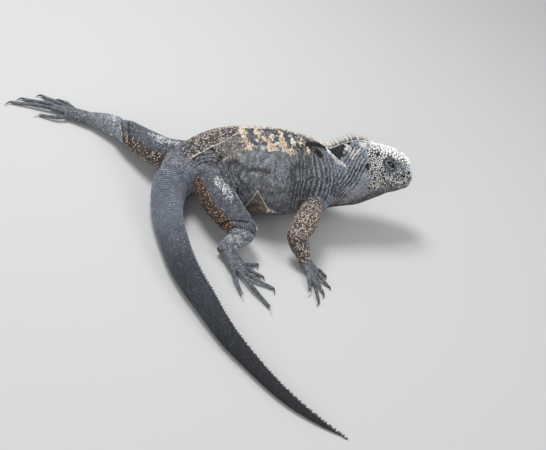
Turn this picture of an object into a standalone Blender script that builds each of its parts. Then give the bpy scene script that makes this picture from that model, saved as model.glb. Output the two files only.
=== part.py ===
"""A marine iguana that lies on bare ground with its head raised and its tail swept round
to its right, as a still life-size model.

Dimensions below are millimetres, and meshes are metres. +X runs from the hips to the head,
+Y is the animal's left and +Z is up. Every length is of an animal of 280 mm from snout to
vent."""
import math
from collections import namedtuple

import bpy
import bmesh
import numpy as np
from mathutils import Vector

MM = 0.001
GAP = 0.3                 # clear space between touching pieces
SINK = 0.5                # a resting form reaches this far down before the floor cuts it flat
HEAD_SIDES = 24
BODY_SIDES = 20
TAIL_SIDES = 14
LIMB_SIDES = 12
DIGIT_SIDES = 7
CLAW_SIDES = 6

# The body is one row of sections from snout to tail tip. half is the half width, up and down
# are the reach above and below the middle, roof and keel are how boxy the upper and lower
# halves are (2 is an ellipse, less is a pitched roof), and lean tips the back to the left.
Section = namedtuple("Section", "x y z half up down roof keel lean")
BODY = {
    "tip": Section(165, 86.7, 70.8, 3.6, 2.8, 5, 2.2, 2.2, 23),
    "snout": Section(163.2, 86.5, 70.8, 8.2, 8.7, 9.8, 2.3, 2.3, 23),
    "muzzle": Section(160, 86.1, 70.7, 12.5, 15.5, 13.5, 2.3, 2.4, 23),
    "nostril": Section(153, 85.3, 70.5, 15, 23.7, 16.3, 2.3, 2.4, 23),
    "cheek": Section(145, 84.3, 70.2, 18, 29.3, 19.5, 2.2, 2.3, 23),
    "eye": Section(135, 83.2, 69.9, 21, 32.3, 22.5, 2.2, 2.2, 23),
    "jaw": Section(125, 82, 69.6, 23.5, 34, 28, 2.1, 2.1, 23),
    "ear": Section(114, 80.7, 69.3, 25, 35.3, 34, 2.0, 2.0, 22),
    "nape": Section(104, 79.3, 68.8, 25.5, 39.5, 38, 1.7, 2.0, 22),
    "hump": Section(92, 76.8, 67.6, 26.5, 42, 40.3, 1.55, 2.0, 21),
    "neck": Section(78, 73.2, 65.2, 29, 39.5, 39.8, 1.55, 2.0, 20),
    "collar": Section(64, 70.8, 61.6, 33, 36, 39.5, 1.6, 2.0, 18),
    "shoulder": Section(49, 70, 58.3, 39, 42, 42, 1.6, 2.1, 17),
    "chest": Section(27, 70.8, 55, 44, 48.5, 46.5, 1.55, 2.2, 17),
    "ribs": Section(0, 70.8, 51.2, 48, 54, 50.5, 1.5, 2.3, 17),
    "belly": Section(-20, 71.3, 49.5, 48, 54, 50, 1.5, 2.3, 16),
    "loin": Section(-40, 73, 47.5, 46, 51.5, 48, 1.5, 2.3, 14),
    "flank": Section(-60, 77, 44.5, 41, 47.5, 44.5, 1.6, 2.2, 10),
    "hip": Section(-79.5, 77.5, 40.5, 35, 42, 40, 1.7, 2.1, 4),
    "sacrum": Section(-97, 71.5, 35.5, 29.5, 35.5, 36, 1.8, 2.0, -4),
    "vent": Section(-110.5, 58.5, 29.5, 25.5, 29, 30, 1.8, 2.0, -14),
    "root": Section(-119.5, 41, 24.5, 21.5, 24.5, 24.5, 1.8, 2.0, -25),
}
# The tail lies on the floor, so a section's height there follows from its size.
Ring = namedtuple("Ring", "x y half up down")
TAIL = {
    "tail_1": Ring(-122, 20, 18.5, 21.5, 20.5),
    "tail_2": Ring(-119.5, -8, 15.5, 19, 17.8),
    "tail_3": Ring(-112, -38, 14, 18, 16.5),
    "tail_4": Ring(-103, -67, 13.2, 17.3, 15.6),
    "tail_5": Ring(-90.5, -94, 12.2, 16, 14.4),
    "tail_6": Ring(-75.5, -119.5, 11, 14.7, 13),
    "tail_7": Ring(-61, -144, 9.6, 12.8, 11.4),
    "tail_8": Ring(-45, -168, 8.5, 11.4, 10.2),
    "tail_9": Ring(-26, -190, 7.2, 9.6, 8.6),
    "tail_10": Ring(-6, -212, 6.2, 8.3, 7.4),
    "tail_11": Ring(17, -233, 5.2, 6.9, 6.2),
    "tail_12": Ring(45, -251.5, 3.4, 4.5, 4),
    "tail_13": Ring(61, -260, 2.3, 2.9, 2.6),
    "tail_14": Ring(80, -269, 1, 1.2, 1.1),
}
TAIL_LEAN = -35           # the tail has rolled its crest over to the right
TAIL_ROOF = 1.8
TAIL_KEEL = 2.0
# Each body node runs between two places along the spine, at about this step.
BODY_NODES = [
    ("head", "tip", "hump", 4.6),
    ("neck", "hump", "shoulder", 7),
    ("chest", "shoulder", "ribs", 8),
    ("belly", "ribs", "flank", 9),
    ("pelvis", "flank", "vent", 7),
    ("tail_base", "vent", "tail_2", 9),
    ("tail_upper", "tail_2", "tail_5", 11),
    ("tail_middle", "tail_5", "tail_8", 11),
    ("tail_lower", "tail_8", "tail_11", 11),
    ("tail_end", "tail_11", "tail_14", 8),
]
FIRST_SLIM_NODE = 6       # from here on the tail has fewer sides and meets no limb

# Swellings and hollows of the head: place back from the tip, angle down from the crown,
# how far each reaches along and round, and its height.
Swelling = namedtuple("Swelling", "back angle along round height")
HEAD_SWELLINGS = [
    Swelling(36, 38, 9, 8, 2.2),        # brow
    Swelling(26, 58, 6, 12, -1.5),      # hollow before the eye
    Swelling(50, 60, 7, 14, -1.0),      # temple
    Swelling(54, 95, 10, 18, 2.0),      # jaw muscle
    Swelling(11, 64, 5, 18, 1.4),       # nostril mound
    Swelling(24, 108, 14, 8, 0.9),      # lips
]
# Crown plates: low pointed scales in rows across the head, from the nose to the skull's back.
CROWN_ROWS = 8
CROWN_FROM = 9            # back from the tip
CROWN_TO = 58
CROWN_SPREAD = 46         # degrees to each side
CROWN_BASE = 2.6
CROWN_HEIGHT = 1.9
CROWN_POINT = 0.3         # a plate's top as a share of its foot

EYE = (37, 60)            # back, angle
EYE_RADIUS = 5.2
EYE_SUNK = 3.4            # depth of the eyeball's middle under the skin
EYE_SLANT = -32           # degrees that the slit drops toward the nose
EYE_OPENING = (5.0, 2.6)  # half length and half height of the slit between the lids
LID_THICKNESS = 1.2
MOUTH_LINE = [(4, 92), (12, 107), (22, 105), (32, 98), (43, 90)]   # back, angle
MOUTH_DEPTH = 2.2
MOUTH_OPENING = 0.7
NOSTRIL = (9.5, 71)        # back, angle
NOSTRIL_RADIUS = 2.2
EAR = (65, 65)            # back, angle
EAR_SIZE = (2.2, 4.2)

# The crest: a row of flat spines along the top of each section, by stretch of the spine.
Crest = namedtuple("Crest", "start stop step first middle last length thick")
CRESTS = [
    Crest("ear", "collar", 4.2, 6, 13, 9, 3.2, 2.0),
    Crest("collar", "vent", 7.0, 3.0, 2.2, 2.0, 4.6, 2.0),
    Crest("vent", "tail_8", 7.6, 2.2, 2.8, 2.4, 5.6, 1.9),
    Crest("tail_8", "tail_13", 7.2, 2.2, 1.8, 1.1, 5.0, 1.4),
]
TALL_SPINE = 5            # spines above this height have a bend halfway up
SPINE_ROOT = 1.6          # depth of a spine's foot below the skin
SPINE_SWEEP = 0.55        # backward lean of the tip, as a share of the height

Joint = namedtuple("Joint", "x y z wide tall")
LIMBS = {
    "right_upper_arm": [Joint(47, 44, 50, 11.5, 13), Joint(43, 23, 45, 13, 14),
                        Joint(36, 3, 39, 14.5, 15), Joint(28, -13, 32, 12.5, 13.5)],
    "right_forearm": [Joint(27, -12, 31, 11.5, 12.5), Joint(34, -20, 22, 11.5, 11.5),
                      Joint(40, -27, 14, 8, 8)],
    "left_upper_arm": [Joint(47, 96, 50, 11.5, 13), Joint(42, 117, 44, 13, 14),
                       Joint(32, 133, 38, 14.5, 15), Joint(24, 145, 31, 12.5, 13)],
    "left_forearm": [Joint(24, 145, 30, 11.5, 12.5), Joint(34, 152, 21.5, 11, 11.5),
                     Joint(44, 157, 13.5, 8, 8)],
    "right_thigh": [Joint(-82, 52, 38, 19, 20), Joint(-71, 30, 36, 20, 21),
                    Joint(-54, 6, 31, 20, 20), Joint(-33, -16, 27.5, 14.5, 15)],
    "right_shank": [Joint(-31, -16, 26, 12.5, 13.5), Joint(-40, -23, 19.5, 12, 12),
                    Joint(-50, -29, 12.5, 9.5, 9)],
    "left_thigh": [Joint(-97, 88, 36, 19, 20), Joint(-128, 90, 31, 20, 20),
                   Joint(-151, 108, 25.5, 18.5, 18.5), Joint(-175, 134, 18.5, 15.5, 15.5)],
    "left_shank": [Joint(-173, 133, 17.5, 13.5, 14), Joint(-198, 150, 14, 12.5, 12.5),
                   Joint(-217, 158, 10.5, 9.5, 9.3)],
}
PALMS = {
    "right_hand": [Joint(40, -27, 11.5, 7.5, 7), Joint(45, -32, 8, 9, 6.3), Joint(51, -37, 6, 9, 5)],
    "left_hand": [Joint(43, 156.5, 11.5, 7.5, 7), Joint(50, 159, 8, 9, 6.3),
                  Joint(57, 161, 6, 9, 5)],
    "right_foot": [Joint(-55, -28, 10, 8.5, 8), Joint(-45, -41, 9, 9, 7.5),
                   Joint(-38, -51, 6.5, 11, 5.5)],
    "left_foot": [Joint(-215, 157, 10, 8.5, 8), Joint(-232, 162, 8.5, 9.5, 7.5),
                  Joint(-246, 167, 6.2, 11, 5.5)],
}
# Digits, thumb side first: knuckle, middle joint, end and claw point, seen from above.
DIGITS = {
    "right_hand": [[(53, -34), (61.5, -36), (68, -38.5), (67, -46)],
                   [(54, -36), (62.5, -47), (70.5, -54.5), (74, -61)],
                   [(53, -38), (58.5, -57), (64, -67.5), (63.5, -76)],
                   [(50, -38.5), (54.5, -62), (58, -81), (55.5, -89.5)],
                   [(46, -36), (47.5, -57), (48.5, -69), (46, -77)]],
    "left_hand": [[(57, 157), (66, 153), (74, 148.5), (82, 148)],
                  [(59, 159), (72, 160), (86, 158), (94, 155.5)],
                  [(59, 162), (76, 169), (93, 172), (102, 171)],
                  [(57, 164), (74, 180), (92, 188), (101, 188)],
                  [(53, 165), (60, 181), (70, 194), (76, 201)]],
    "right_foot": [[(-35, -49), (-24, -46.5), (-13.5, -40.5), (-12, -48.5)],
                   [(-33, -53), (-21, -55.5), (-9, -57.5), (-4, -64)],
                   [(-33, -56), (-17.5, -66.5), (3.5, -73.5), (7, -83.5)],
                   [(-35.5, -58), (-20, -80), (0, -103.5), (3, -115.5)],
                   [(-43, -54), (-38.5, -73), (-31, -91.5), (-29.5, -101)]],
    "left_foot": [[(-244, 176), (-254, 186.5), (-262.5, 193), (-270, 190)],
                  [(-249, 175), (-267, 185), (-284, 195), (-292.5, 192.5)],
                  [(-250, 172), (-279, 178), (-305, 182), (-314.5, 177.5)],
                  [(-249, 168.5), (-284, 170.5), (-317.5, 171), (-326, 163.5)],
                  [(-243, 161), (-261, 154.5), (-282, 156.5), (-290, 149.5)]],
}
DIGIT_RADIUS = {"hand": (2.9, 2.1), "foot": (3.4, 2.3)}
KNUCKLE_HEIGHT = 6.0
DIGIT_ARCH = 5.2          # height of the middle joint's axis
CLAW_RADIUS = 1.7
CLAW_HUMP = 1.1           # how far a claw arches above its chord
CLAW_POINT_HEIGHT = 0.6
PALE_CLAWS = {"right_foot": (4, 5), "right_hand": (5,), "left_foot": (5,), "left_hand": (2,)}

SLATE = (0.085, 0.088, 0.097)
NEAR_BLACK = (0.035, 0.036, 0.042)
CROWN_GREY = (0.34, 0.33, 0.31)
LEG_BROWN = (0.12, 0.10, 0.095)
EYE_BLACK = (0.012, 0.010, 0.010)
CLAW_DARK = (0.045, 0.04, 0.038)
CLAW_PALE = (0.55, 0.50, 0.42)


def smooth_row(rows, knots, s):
    """Read a table of rows at a place along its knots, on a smooth curve through them."""
    slopes = np.gradient(rows, knots, axis=0)
    i = int(np.clip(np.searchsorted(knots, s) - 1, 0, len(knots) - 2))
    span = knots[i + 1] - knots[i]
    t = (s - knots[i]) / span
    near = rows[i] * (1 + 2 * t) * (1 - t) ** 2 + slopes[i] * span * t * (1 - t) ** 2
    far = rows[i + 1] * t * t * (3 - 2 * t) - slopes[i + 1] * span * t * t * (1 - t)
    return near + far


def chord_knots(rows):
    """Distance along a row of points from the first one."""
    steps = np.linalg.norm(np.diff(rows[:, :3], axis=0), axis=1)
    return np.concatenate([[0.0], np.cumsum(steps)])


def power(value, exponent):
    """A signed power, for rounded boxes."""
    return math.copysign(abs(value) ** exponent, value)


class Spine:
    """The middle line of head, body and tail, with a section's shape at each place on it."""

    def __init__(self):
        sections = dict(BODY)
        tilt = math.radians(TAIL_LEAN)
        for name, ring in TAIL.items():
            reach = math.hypot(ring.half * math.sin(tilt), ring.down * math.cos(tilt))
            sections[name] = Section(ring.x, ring.y, reach - SINK, ring.half, ring.up, ring.down,
                                     TAIL_ROOF, TAIL_KEEL, TAIL_LEAN)
        self.rows = np.array(list(sections.values()), float)
        self.knots = chord_knots(self.rows)
        self.place = dict(zip(sections, self.knots))

    def frame(self, s):
        """Middle, forward, left and up at a place, and the section's shape."""
        section = Section(*smooth_row(self.rows, self.knots, s))
        ahead = smooth_row(self.rows, self.knots, max(s - 0.5, 0))[:3]
        behind = smooth_row(self.rows, self.knots, min(s + 0.5, self.knots[-1]))[:3]
        forward = Vector(ahead - behind).normalized()
        level_left = Vector((0, 0, 1)).cross(forward).normalized()
        level_up = forward.cross(level_left)
        lean = math.radians(section.lean)
        up = level_up * math.cos(lean) + level_left * math.sin(lean)
        left = level_left * math.cos(lean) - level_up * math.sin(lean)
        return Vector(section[:3]), forward, left, up, section

    def skin_point(self, s, angle, grow=0.0):
        """A point of the skin, at an angle from the top that is positive to the left."""
        middle, forward, left, up, section = self.frame(s)
        rise = section.up if math.cos(angle) > 0 else section.down
        shape = section.roof if math.cos(angle) > 0 else section.keel
        side = section.half * power(math.sin(angle), 2 / shape)
        height = rise * power(math.cos(angle), 2 / shape)
        outward = Vector((side / section.half ** 2, height / rise ** 2)).normalized()
        lift = grow + swelling(s, angle)
        return middle + left * (side + outward.x * lift) + up * (height + outward.y * lift)

    def ring(self, s, sides, grow=0.0):
        return [self.skin_point(s, math.tau * k / sides, grow) for k in range(sides)]


def swelling(s, angle):
    """How far the head's brows, cheeks and lips stand out at a place."""
    degrees = abs(math.degrees((angle + math.pi) % math.tau - math.pi))
    total = 0.0
    for bump in HEAD_SWELLINGS:
        along = (s - bump.back) / bump.along
        around = (degrees - bump.angle) / bump.round
        total += bump.height * math.exp(-along * along - around * around)
    return total


SPINE = Spine()


def new_object(name, mesh):
    item = bpy.data.objects.new(name, mesh)
    bpy.context.scene.collection.objects.link(item)
    return item


def loft(name, rings):
    """A closed skin over rings of points, with a flat face at each end."""
    shape = bmesh.new()
    loops = [[shape.verts.new(point * MM) for point in ring] for ring in rings]
    for near, far in zip(loops, loops[1:]):
        for k in range(len(near)):
            following = (k + 1) % len(near)
            shape.faces.new((near[k], near[following], far[following]))
            shape.faces.new((near[k], far[following], far[k]))
    shape.faces.new(loops[0][::-1])
    shape.faces.new(loops[-1])
    bmesh.ops.recalc_face_normals(shape, faces=shape.faces)
    mesh = bpy.data.meshes.new(name)
    shape.to_mesh(mesh)
    shape.free()
    return new_object(name, mesh)


def node_places(number):
    """The places of a body node's rings, half a gap short of its neighbours."""
    name, first, last, step = BODY_NODES[number]
    start = SPINE.place[first] + (GAP / 2 if number else 0)
    stop = SPINE.place[last] - (GAP / 2 if number < len(BODY_NODES) - 1 else 0)
    count = round((stop - start) / step)
    return [start + (stop - start) * k / count for k in range(count + 1)]


def room_for_body():
    """The trunk and the tail's root, grown by the gap, which the limbs are cut to."""
    places = [s for number in range(1, FIRST_SLIM_NODE) for s in node_places(number)]
    return loft("room", [SPINE.ring(s, BODY_SIDES, GAP) for s in places])


def tube_rings(joints, sides, step, grow=0.0, domed=True):
    """Rings along a limb, which starts flat inside its carrier and may end in a dome."""
    rows = np.array(joints, float)
    knots = chord_knots(rows)
    count = max(2, round(knots[-1] / step))
    stops = [(knots[-1] * k / count, 0.0, 1.0) for k in range(count + 1)]
    bends = [math.radians(a) for a in (35, 65)]
    if domed:
        stops += [(knots[-1], math.sin(a), math.cos(a)) for a in bends]
    rings = []
    for s, push, shrink in stops:
        row = smooth_row(rows, knots, s)
        back = smooth_row(rows, knots, max(s - 0.3, 0))[:3]
        front = smooth_row(rows, knots, min(s + 0.3, knots[-1]))[:3]
        forward = Vector(front - back).normalized()
        side = forward.cross(Vector((0, 0, 1))).normalized()
        up = side.cross(forward)
        wide = row[3] + grow
        tall = row[4] + grow
        middle = Vector(row[:3]) + forward * (push * (wide + tall) / 2)
        angles = [math.tau * k / sides for k in range(sides)]
        rings.append([middle + side * (wide * shrink * math.cos(a))
                      + up * (tall * shrink * math.sin(a)) for a in angles])
    return rings


def combine(item, others, operation):
    """Add or take away closed shapes, then keep the largest closed surface."""
    group = bpy.data.collections.new("tools")
    bpy.context.scene.collection.children.link(group)
    for other in others:
        bpy.context.scene.collection.objects.unlink(other)
        group.objects.link(other)
    cut = item.modifiers.new("combine", "BOOLEAN")
    cut.operation = operation
    cut.operand_type = "COLLECTION"
    cut.collection = group
    cut.solver = "MANIFOLD"   # many small closed spines, where EXACT is slow
    view = bpy.context.evaluated_depsgraph_get()
    mesh = bpy.data.meshes.new_from_object(item.evaluated_get(view))
    item.modifiers.clear()
    item.data = mesh
    for other in others:
        bpy.data.objects.remove(other)
    bpy.data.collections.remove(group)
    keep_largest(item.data)


def keep_largest(mesh):
    """Drop loose scraps: only the closed surface with the largest volume stays."""
    shape = bmesh.new()
    shape.from_mesh(mesh)
    bmesh.ops.triangulate(shape, faces=shape.faces)
    waiting = set(shape.faces)
    groups = []
    while waiting:
        front = [waiting.pop()]
        group = list(front)
        while front:
            face = front.pop()
            for edge in face.edges:
                for other in edge.link_faces:
                    if other in waiting:
                        waiting.remove(other)
                        front.append(other)
                        group.append(other)
        groups.append(group)
    groups.sort(key=lambda faces: -sum(face_volume(face) for face in faces))
    for group in groups[1:]:
        bmesh.ops.delete(shape, geom=group, context="FACES")
    shape.to_mesh(mesh)
    shape.free()


def face_volume(face):
    a, b, c = (vertex.co for vertex in face.verts)
    return a.dot(b.cross(c)) / 6


def box(name, low, high):
    corners = [Vector((x, y, z)) for z in (low.z, high.z)
               for x, y in ((low.x, low.y), (high.x, low.y), (high.x, high.y), (low.x, high.y))]
    return loft(name, [corners[:4], corners[4:]])


def cut_at_floor(item):
    below = box("below", Vector((-500, -500, -60)), Vector((500, 500, 0)))
    combine(item, [below], "DIFFERENCE")


def blade(root, back, up, side, height, length, thick):
    """One flat crest spine that tapers to a point swept back."""
    shares = [(-SPINE_ROOT, 1.0, 0.0), (height, 0.12, 1.0)]
    if height > TALL_SPINE:
        shares.insert(1, (height * 0.5, 0.72, 0.3))
    rings = []
    for rise, size, sweep in shares:
        middle = root + up * rise + back * (SPINE_SWEEP * height * sweep)
        long_half = back * (length * size / 2)
        thin_half = side * (thick * size / 2)
        rings.append([middle - long_half, middle + thin_half, middle + long_half,
                      middle - thin_half])
    return loft("spine", rings)


def crest_spines(start, stop):
    """The spines of the crest that root between two places along the spine."""
    spines = []
    for crest in CRESTS:
        crest_start = SPINE.place[crest.start]
        crest_stop = SPINE.place[crest.stop]
        first = max(start, crest_start) + crest.step / 2
        last = min(stop, crest_stop) - crest.step / 2
        if last < first:
            continue
        count = max(1, round((last - first) / crest.step))
        for k in range(count + 1):
            s = first + (last - first) * k / count
            share = (s - crest_start) / (crest_stop - crest_start)
            height = np.interp(share, (0, 0.45, 1), (crest.first, crest.middle, crest.last))
            middle, forward, left, up, section = SPINE.frame(s)
            root = SPINE.skin_point(s, 0.0)
            spines.append(blade(root, -forward, up, left, height, crest.length, crest.thick))
    return spines


def ball(name, middle, axes, radii, rings=7, sides=12):
    """An ellipsoid with its poles along the first axis."""
    loops = []
    for k in range(rings):
        tilt = math.pi * (k + 0.5) / rings
        out = math.sin(tilt)
        loops.append([middle + axes[0] * (radii[0] * math.cos(tilt))
                      + axes[1] * (radii[1] * out * math.cos(math.tau * j / sides))
                      + axes[2] * (radii[2] * out * math.sin(math.tau * j / sides))
                      for j in range(sides)])
    return loft(name, loops)


def surface_frame(back, angle):
    """A point on the head with its outward, forward and round directions."""
    here = SPINE.skin_point(back, angle)
    forward = (SPINE.skin_point(back - 1, angle) - SPINE.skin_point(back + 1, angle)).normalized()
    around = SPINE.skin_point(back, angle + 0.05) - SPINE.skin_point(back, angle - 0.05)
    outward = around.cross(forward).normalized()
    middle = SPINE.frame(back)[0]
    if outward.dot(here - middle) < 0:
        outward = -outward
    return here, outward, forward, outward.cross(forward)


def eye_place(side):
    """Middle of an eyeball, the way it looks, and the directions along and across its slit.
    side is 1 on the left and -1 on the right."""
    back, angle = EYE
    here, outward, forward, around = surface_frame(back, side * math.radians(angle))
    slant = math.radians(EYE_SLANT)
    rise = SPINE.frame(back)[3]
    rise = (rise - outward * rise.dot(outward)).normalized()
    ahead = (forward - rise * forward.dot(rise)).normalized()
    along = ahead * math.cos(slant) + rise * math.sin(slant)
    return here - outward * EYE_SUNK, outward, along, outward.cross(along)


def crown_plates():
    plates = []
    for row in range(CROWN_ROWS):
        share = row / (CROWN_ROWS - 1)
        back = CROWN_FROM + (CROWN_TO - CROWN_FROM) * share
        across = 4 + (row % 2)
        for k in range(across):
            angle = math.radians(CROWN_SPREAD * (2 * k / (across - 1) - 1))
            here, outward, forward, around = surface_frame(back, angle)
            size = CROWN_BASE * (0.85 + 0.3 * share)
            foot = [here - outward + (forward * math.cos(a) + around * math.sin(a)) * size
                    for a in (math.tau * j / 4 for j in range(4))]
            tip = here + outward * CROWN_HEIGHT
            top = [tip + (point - here + outward) * CROWN_POINT for point in foot]
            plates.append(loft("plate", [foot, top]))
    return plates


def mouth_slit():
    """A thin wedge all round the lips, from the right corner past the nose to the left one."""
    rows = np.array(MOUTH_LINE, float)
    count = 7
    line = [smooth_row(rows, rows[:, 0], rows[0, 0] + (rows[-1, 0] - rows[0, 0]) * k / count)
            for k in range(count + 1)]
    edges = []
    for side in (-1, 1):
        edge = [surface_frame(back, side * math.radians(angle)) for back, angle in line]
        edges.append([(here, outward) for here, outward, forward, around in edge])
    nose, forward = SPINE.frame(0)[:2]
    down = SPINE.frame(0)[3] * -3
    path = edges[0][::-1] + [(nose + down + forward * 0.5, forward)] + edges[1]
    up = SPINE.frame(20)[3]
    lift = up * (MOUTH_OPENING / 2)
    rings = []
    for here, outward in path:
        outward = (outward - up * outward.dot(up)).normalized()
        outer = here + outward * 2.5
        inner = here - outward * MOUTH_DEPTH
        rings.append([outer - lift, outer + lift, inner + lift, inner - lift])
    return loft("mouth", rings)


def make_head():
    """The head with brows, lids, crown plates, mouth line, nostrils and ear hollows."""
    places = node_places(0)
    head = loft("head", [SPINE.ring(s, HEAD_SIDES) for s in places])
    extra = crest_spines(SPINE.place["ear"] - 2, places[-1]) + crown_plates()
    cutters = [mouth_slit()]
    for side in (1, -1):
        centre, outward, along, rise = eye_place(side)
        lid = EYE_RADIUS + LID_THICKNESS
        extra.append(ball("lids", centre, (outward, along, rise), (lid, lid + 2.2, lid + 0.6)))
        room = EYE_RADIUS + GAP
        cutters.append(ball("socket", centre, (outward, along, rise), (room, room, room)))
        slit = (6, EYE_OPENING[0], EYE_OPENING[1])
        cutters.append(ball("slit", centre + outward * 6, (outward, along, rise), slit))
        here, out, forward, around = surface_frame(NOSTRIL[0], side * math.radians(NOSTRIL[1]))
        rim = (1.4, NOSTRIL_RADIUS, NOSTRIL_RADIUS)
        extra.append(ball("rim", here + out * 0.2, (out, forward, around), rim, 4, 8))
        pit = (2.4, NOSTRIL_RADIUS * 0.5, NOSTRIL_RADIUS * 0.5)
        cutters.append(ball("pit", here + out * 1.6, (out, forward, around), pit, 4, 6))
        here, out, forward, around = surface_frame(EAR[0], side * math.radians(EAR[1]))
        drum = (1.3, EAR_SIZE[0], EAR_SIZE[1])
        cutters.append(ball("drum", here + out * 0.3, (out, forward, around), drum, 4, 10))
    combine(head, extra, "UNION")
    combine(head, cutters, "DIFFERENCE")
    paint(head, CROWN_GREY, 0.7)


def make_eyes():
    for name, side in (("eye_left", 1), ("eye_right", -1)):
        centre, outward, along, rise = eye_place(side)
        radii = (EYE_RADIUS, EYE_RADIUS, EYE_RADIUS)
        eye = ball(name, centre, (outward, along, rise), radii)
        paint(eye, EYE_BLACK, 0.1)


def make_body():
    """Neck, trunk and tail, each a length of the spine with its part of the crest."""
    for number in range(1, len(BODY_NODES)):
        places = node_places(number)
        sides = TAIL_SIDES if number >= FIRST_SLIM_NODE else BODY_SIDES
        item = loft(BODY_NODES[number][0], [SPINE.ring(s, sides) for s in places])
        combine(item, crest_spines(places[0], places[-1]), "UNION")
        cut_at_floor(item)
        paint(item, blend(SLATE, NEAR_BLACK, number / len(BODY_NODES)), 0.6)


def make_limbs():
    """Upper and lower limb pieces, each cut clear of what carries it."""
    for side in ("right", "left"):
        for upper, lower, end in (("upper_arm", "forearm", "hand"), ("thigh", "shank", "foot")):
            upper = side + "_" + upper
            lower = side + "_" + lower
            end = side + "_" + end
            item = loft(upper, tube_rings(LIMBS[upper], LIMB_SIDES, 8))
            combine(item, [room_for_body()], "DIFFERENCE")
            cut_at_floor(item)
            paint(item, LEG_BROWN, 0.65)
            item = loft(lower, tube_rings(LIMBS[lower], LIMB_SIDES, 7))
            carrier = loft("room", tube_rings(LIMBS[upper], LIMB_SIDES, 8, GAP))
            combine(item, [carrier, room_for_body()], "DIFFERENCE")
            cut_at_floor(item)
            paint(item, SLATE, 0.65)
            make_foot(end, LIMBS[lower], LIMBS[upper])


def digit_joints(name, points):
    """Middle line of a digit from its knuckle to its end, with its thickness."""
    thick, thin = DIGIT_RADIUS[name.split("_")[1]]
    heights = (KNUCKLE_HEIGHT, DIGIT_ARCH, thin - SINK + 0.2)
    sizes = (thick, (thick + thin) / 2, thin)
    return [Joint(x, y, z, size, size)
            for (x, y), z, size in zip(points[:3], heights, sizes)]


def make_foot(name, lower, upper):
    """A palm or sole fused with five digits, and the five claws."""
    foot = loft(name, tube_rings(PALMS[name], LIMB_SIDES, 6))
    digits = []
    for number, points in enumerate(DIGITS[name], 1):
        joints = digit_joints(name, points)
        digits.append(loft("digit", tube_rings(joints, DIGIT_SIDES, 9, domed=False)))
        make_claw(name, number, joints, points[3])
    combine(foot, digits, "UNION")
    carriers = [loft("room", tube_rings(joints, LIMB_SIDES, step, GAP))
                for joints, step in ((lower, 7), (upper, 8))]
    combine(foot, carriers, "DIFFERENCE")
    cut_at_floor(foot)
    paint(foot, SLATE, 0.65)


def make_claw(name, number, joints, point):
    """A curved claw that starts just past the flat end of its digit."""
    end = Vector(joints[2][:3])
    way = (end - Vector(joints[1][:3])).normalized()
    start = end + way * (GAP + 0.1)
    tip = Vector((point[0], point[1], CLAW_POINT_HEIGHT))
    rings = []
    for share in (0.0, 0.35, 0.7, 1.0):
        pull = (1 - share) ** 2
        middle = start * pull + (start + way * 4) * (2 * share * (1 - share)) + tip * share ** 2
        middle.z += CLAW_HUMP * 4 * share * (1 - share)
        ahead = (way * (1 - share) + (tip - start).normalized() * share).normalized()
        side = ahead.cross(Vector((0, 0, 1))).normalized()
        up = side.cross(ahead)
        size = CLAW_RADIUS * (1 - 0.85 * share)
        rings.append([middle + side * (size * 0.8 * math.cos(a)) + up * (size * math.sin(a))
                      for a in (math.tau * k / CLAW_SIDES for k in range(CLAW_SIDES))])
    claw = loft(f"{name}_claw_{number}", rings)
    pale = number in PALE_CLAWS[name]
    paint(claw, CLAW_PALE if pale else CLAW_DARK, 0.4)


def blend(first, second, share):
    return tuple(a + (b - a) * share for a, b in zip(first, second))


def paint(item, color, roughness):
    """Give a node its own plain material."""
    material = bpy.data.materials.new(item.name)
    material.use_nodes = True
    shader = material.node_tree.nodes["Principled BSDF"]
    shader.inputs["Base Color"].default_value = (*color, 1)
    shader.inputs["Roughness"].default_value = roughness
    shader.inputs["Metallic"].default_value = 0
    item.data.materials.clear()
    item.data.materials.append(material)
    item.data.shade_smooth()
    item.data.set_sharp_from_angle(angle=math.radians(50))


def centre_on_footprint():
    """Put the origin on the floor, under the middle of the whole model."""
    items = [item for item in bpy.context.scene.objects if item.type == "MESH"]
    corners = np.array([vertex.co for item in items for vertex in item.data.vertices])
    middle = (corners.min(axis=0) + corners.max(axis=0)) / 2
    for item in items:
        for vertex in item.data.vertices:
            vertex.co.x -= middle[0]
            vertex.co.y -= middle[1]


def main():
    for item in list(bpy.data.objects):
        bpy.data.objects.remove(item)
    make_head()
    make_eyes()
    make_body()
    make_limbs()
    centre_on_footprint()


main()
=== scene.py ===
"""The looks of a life-size marine iguana: one skin with its folds, and over it the scales, the
crest's spines, lids, eyes, claws and the flakes of skin that it is shedding.

Lengths are millimetres until a mesh is made, and meshes are metres. +X runs from the hips to
the head, +Y is the animal's left and +Z is up."""
import math
from collections import namedtuple

import bmesh
import bpy
import numpy as np
from mathutils import Matrix, Vector
from mathutils.bvhtree import BVHTree
from mathutils.kdtree import KDTree


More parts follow.
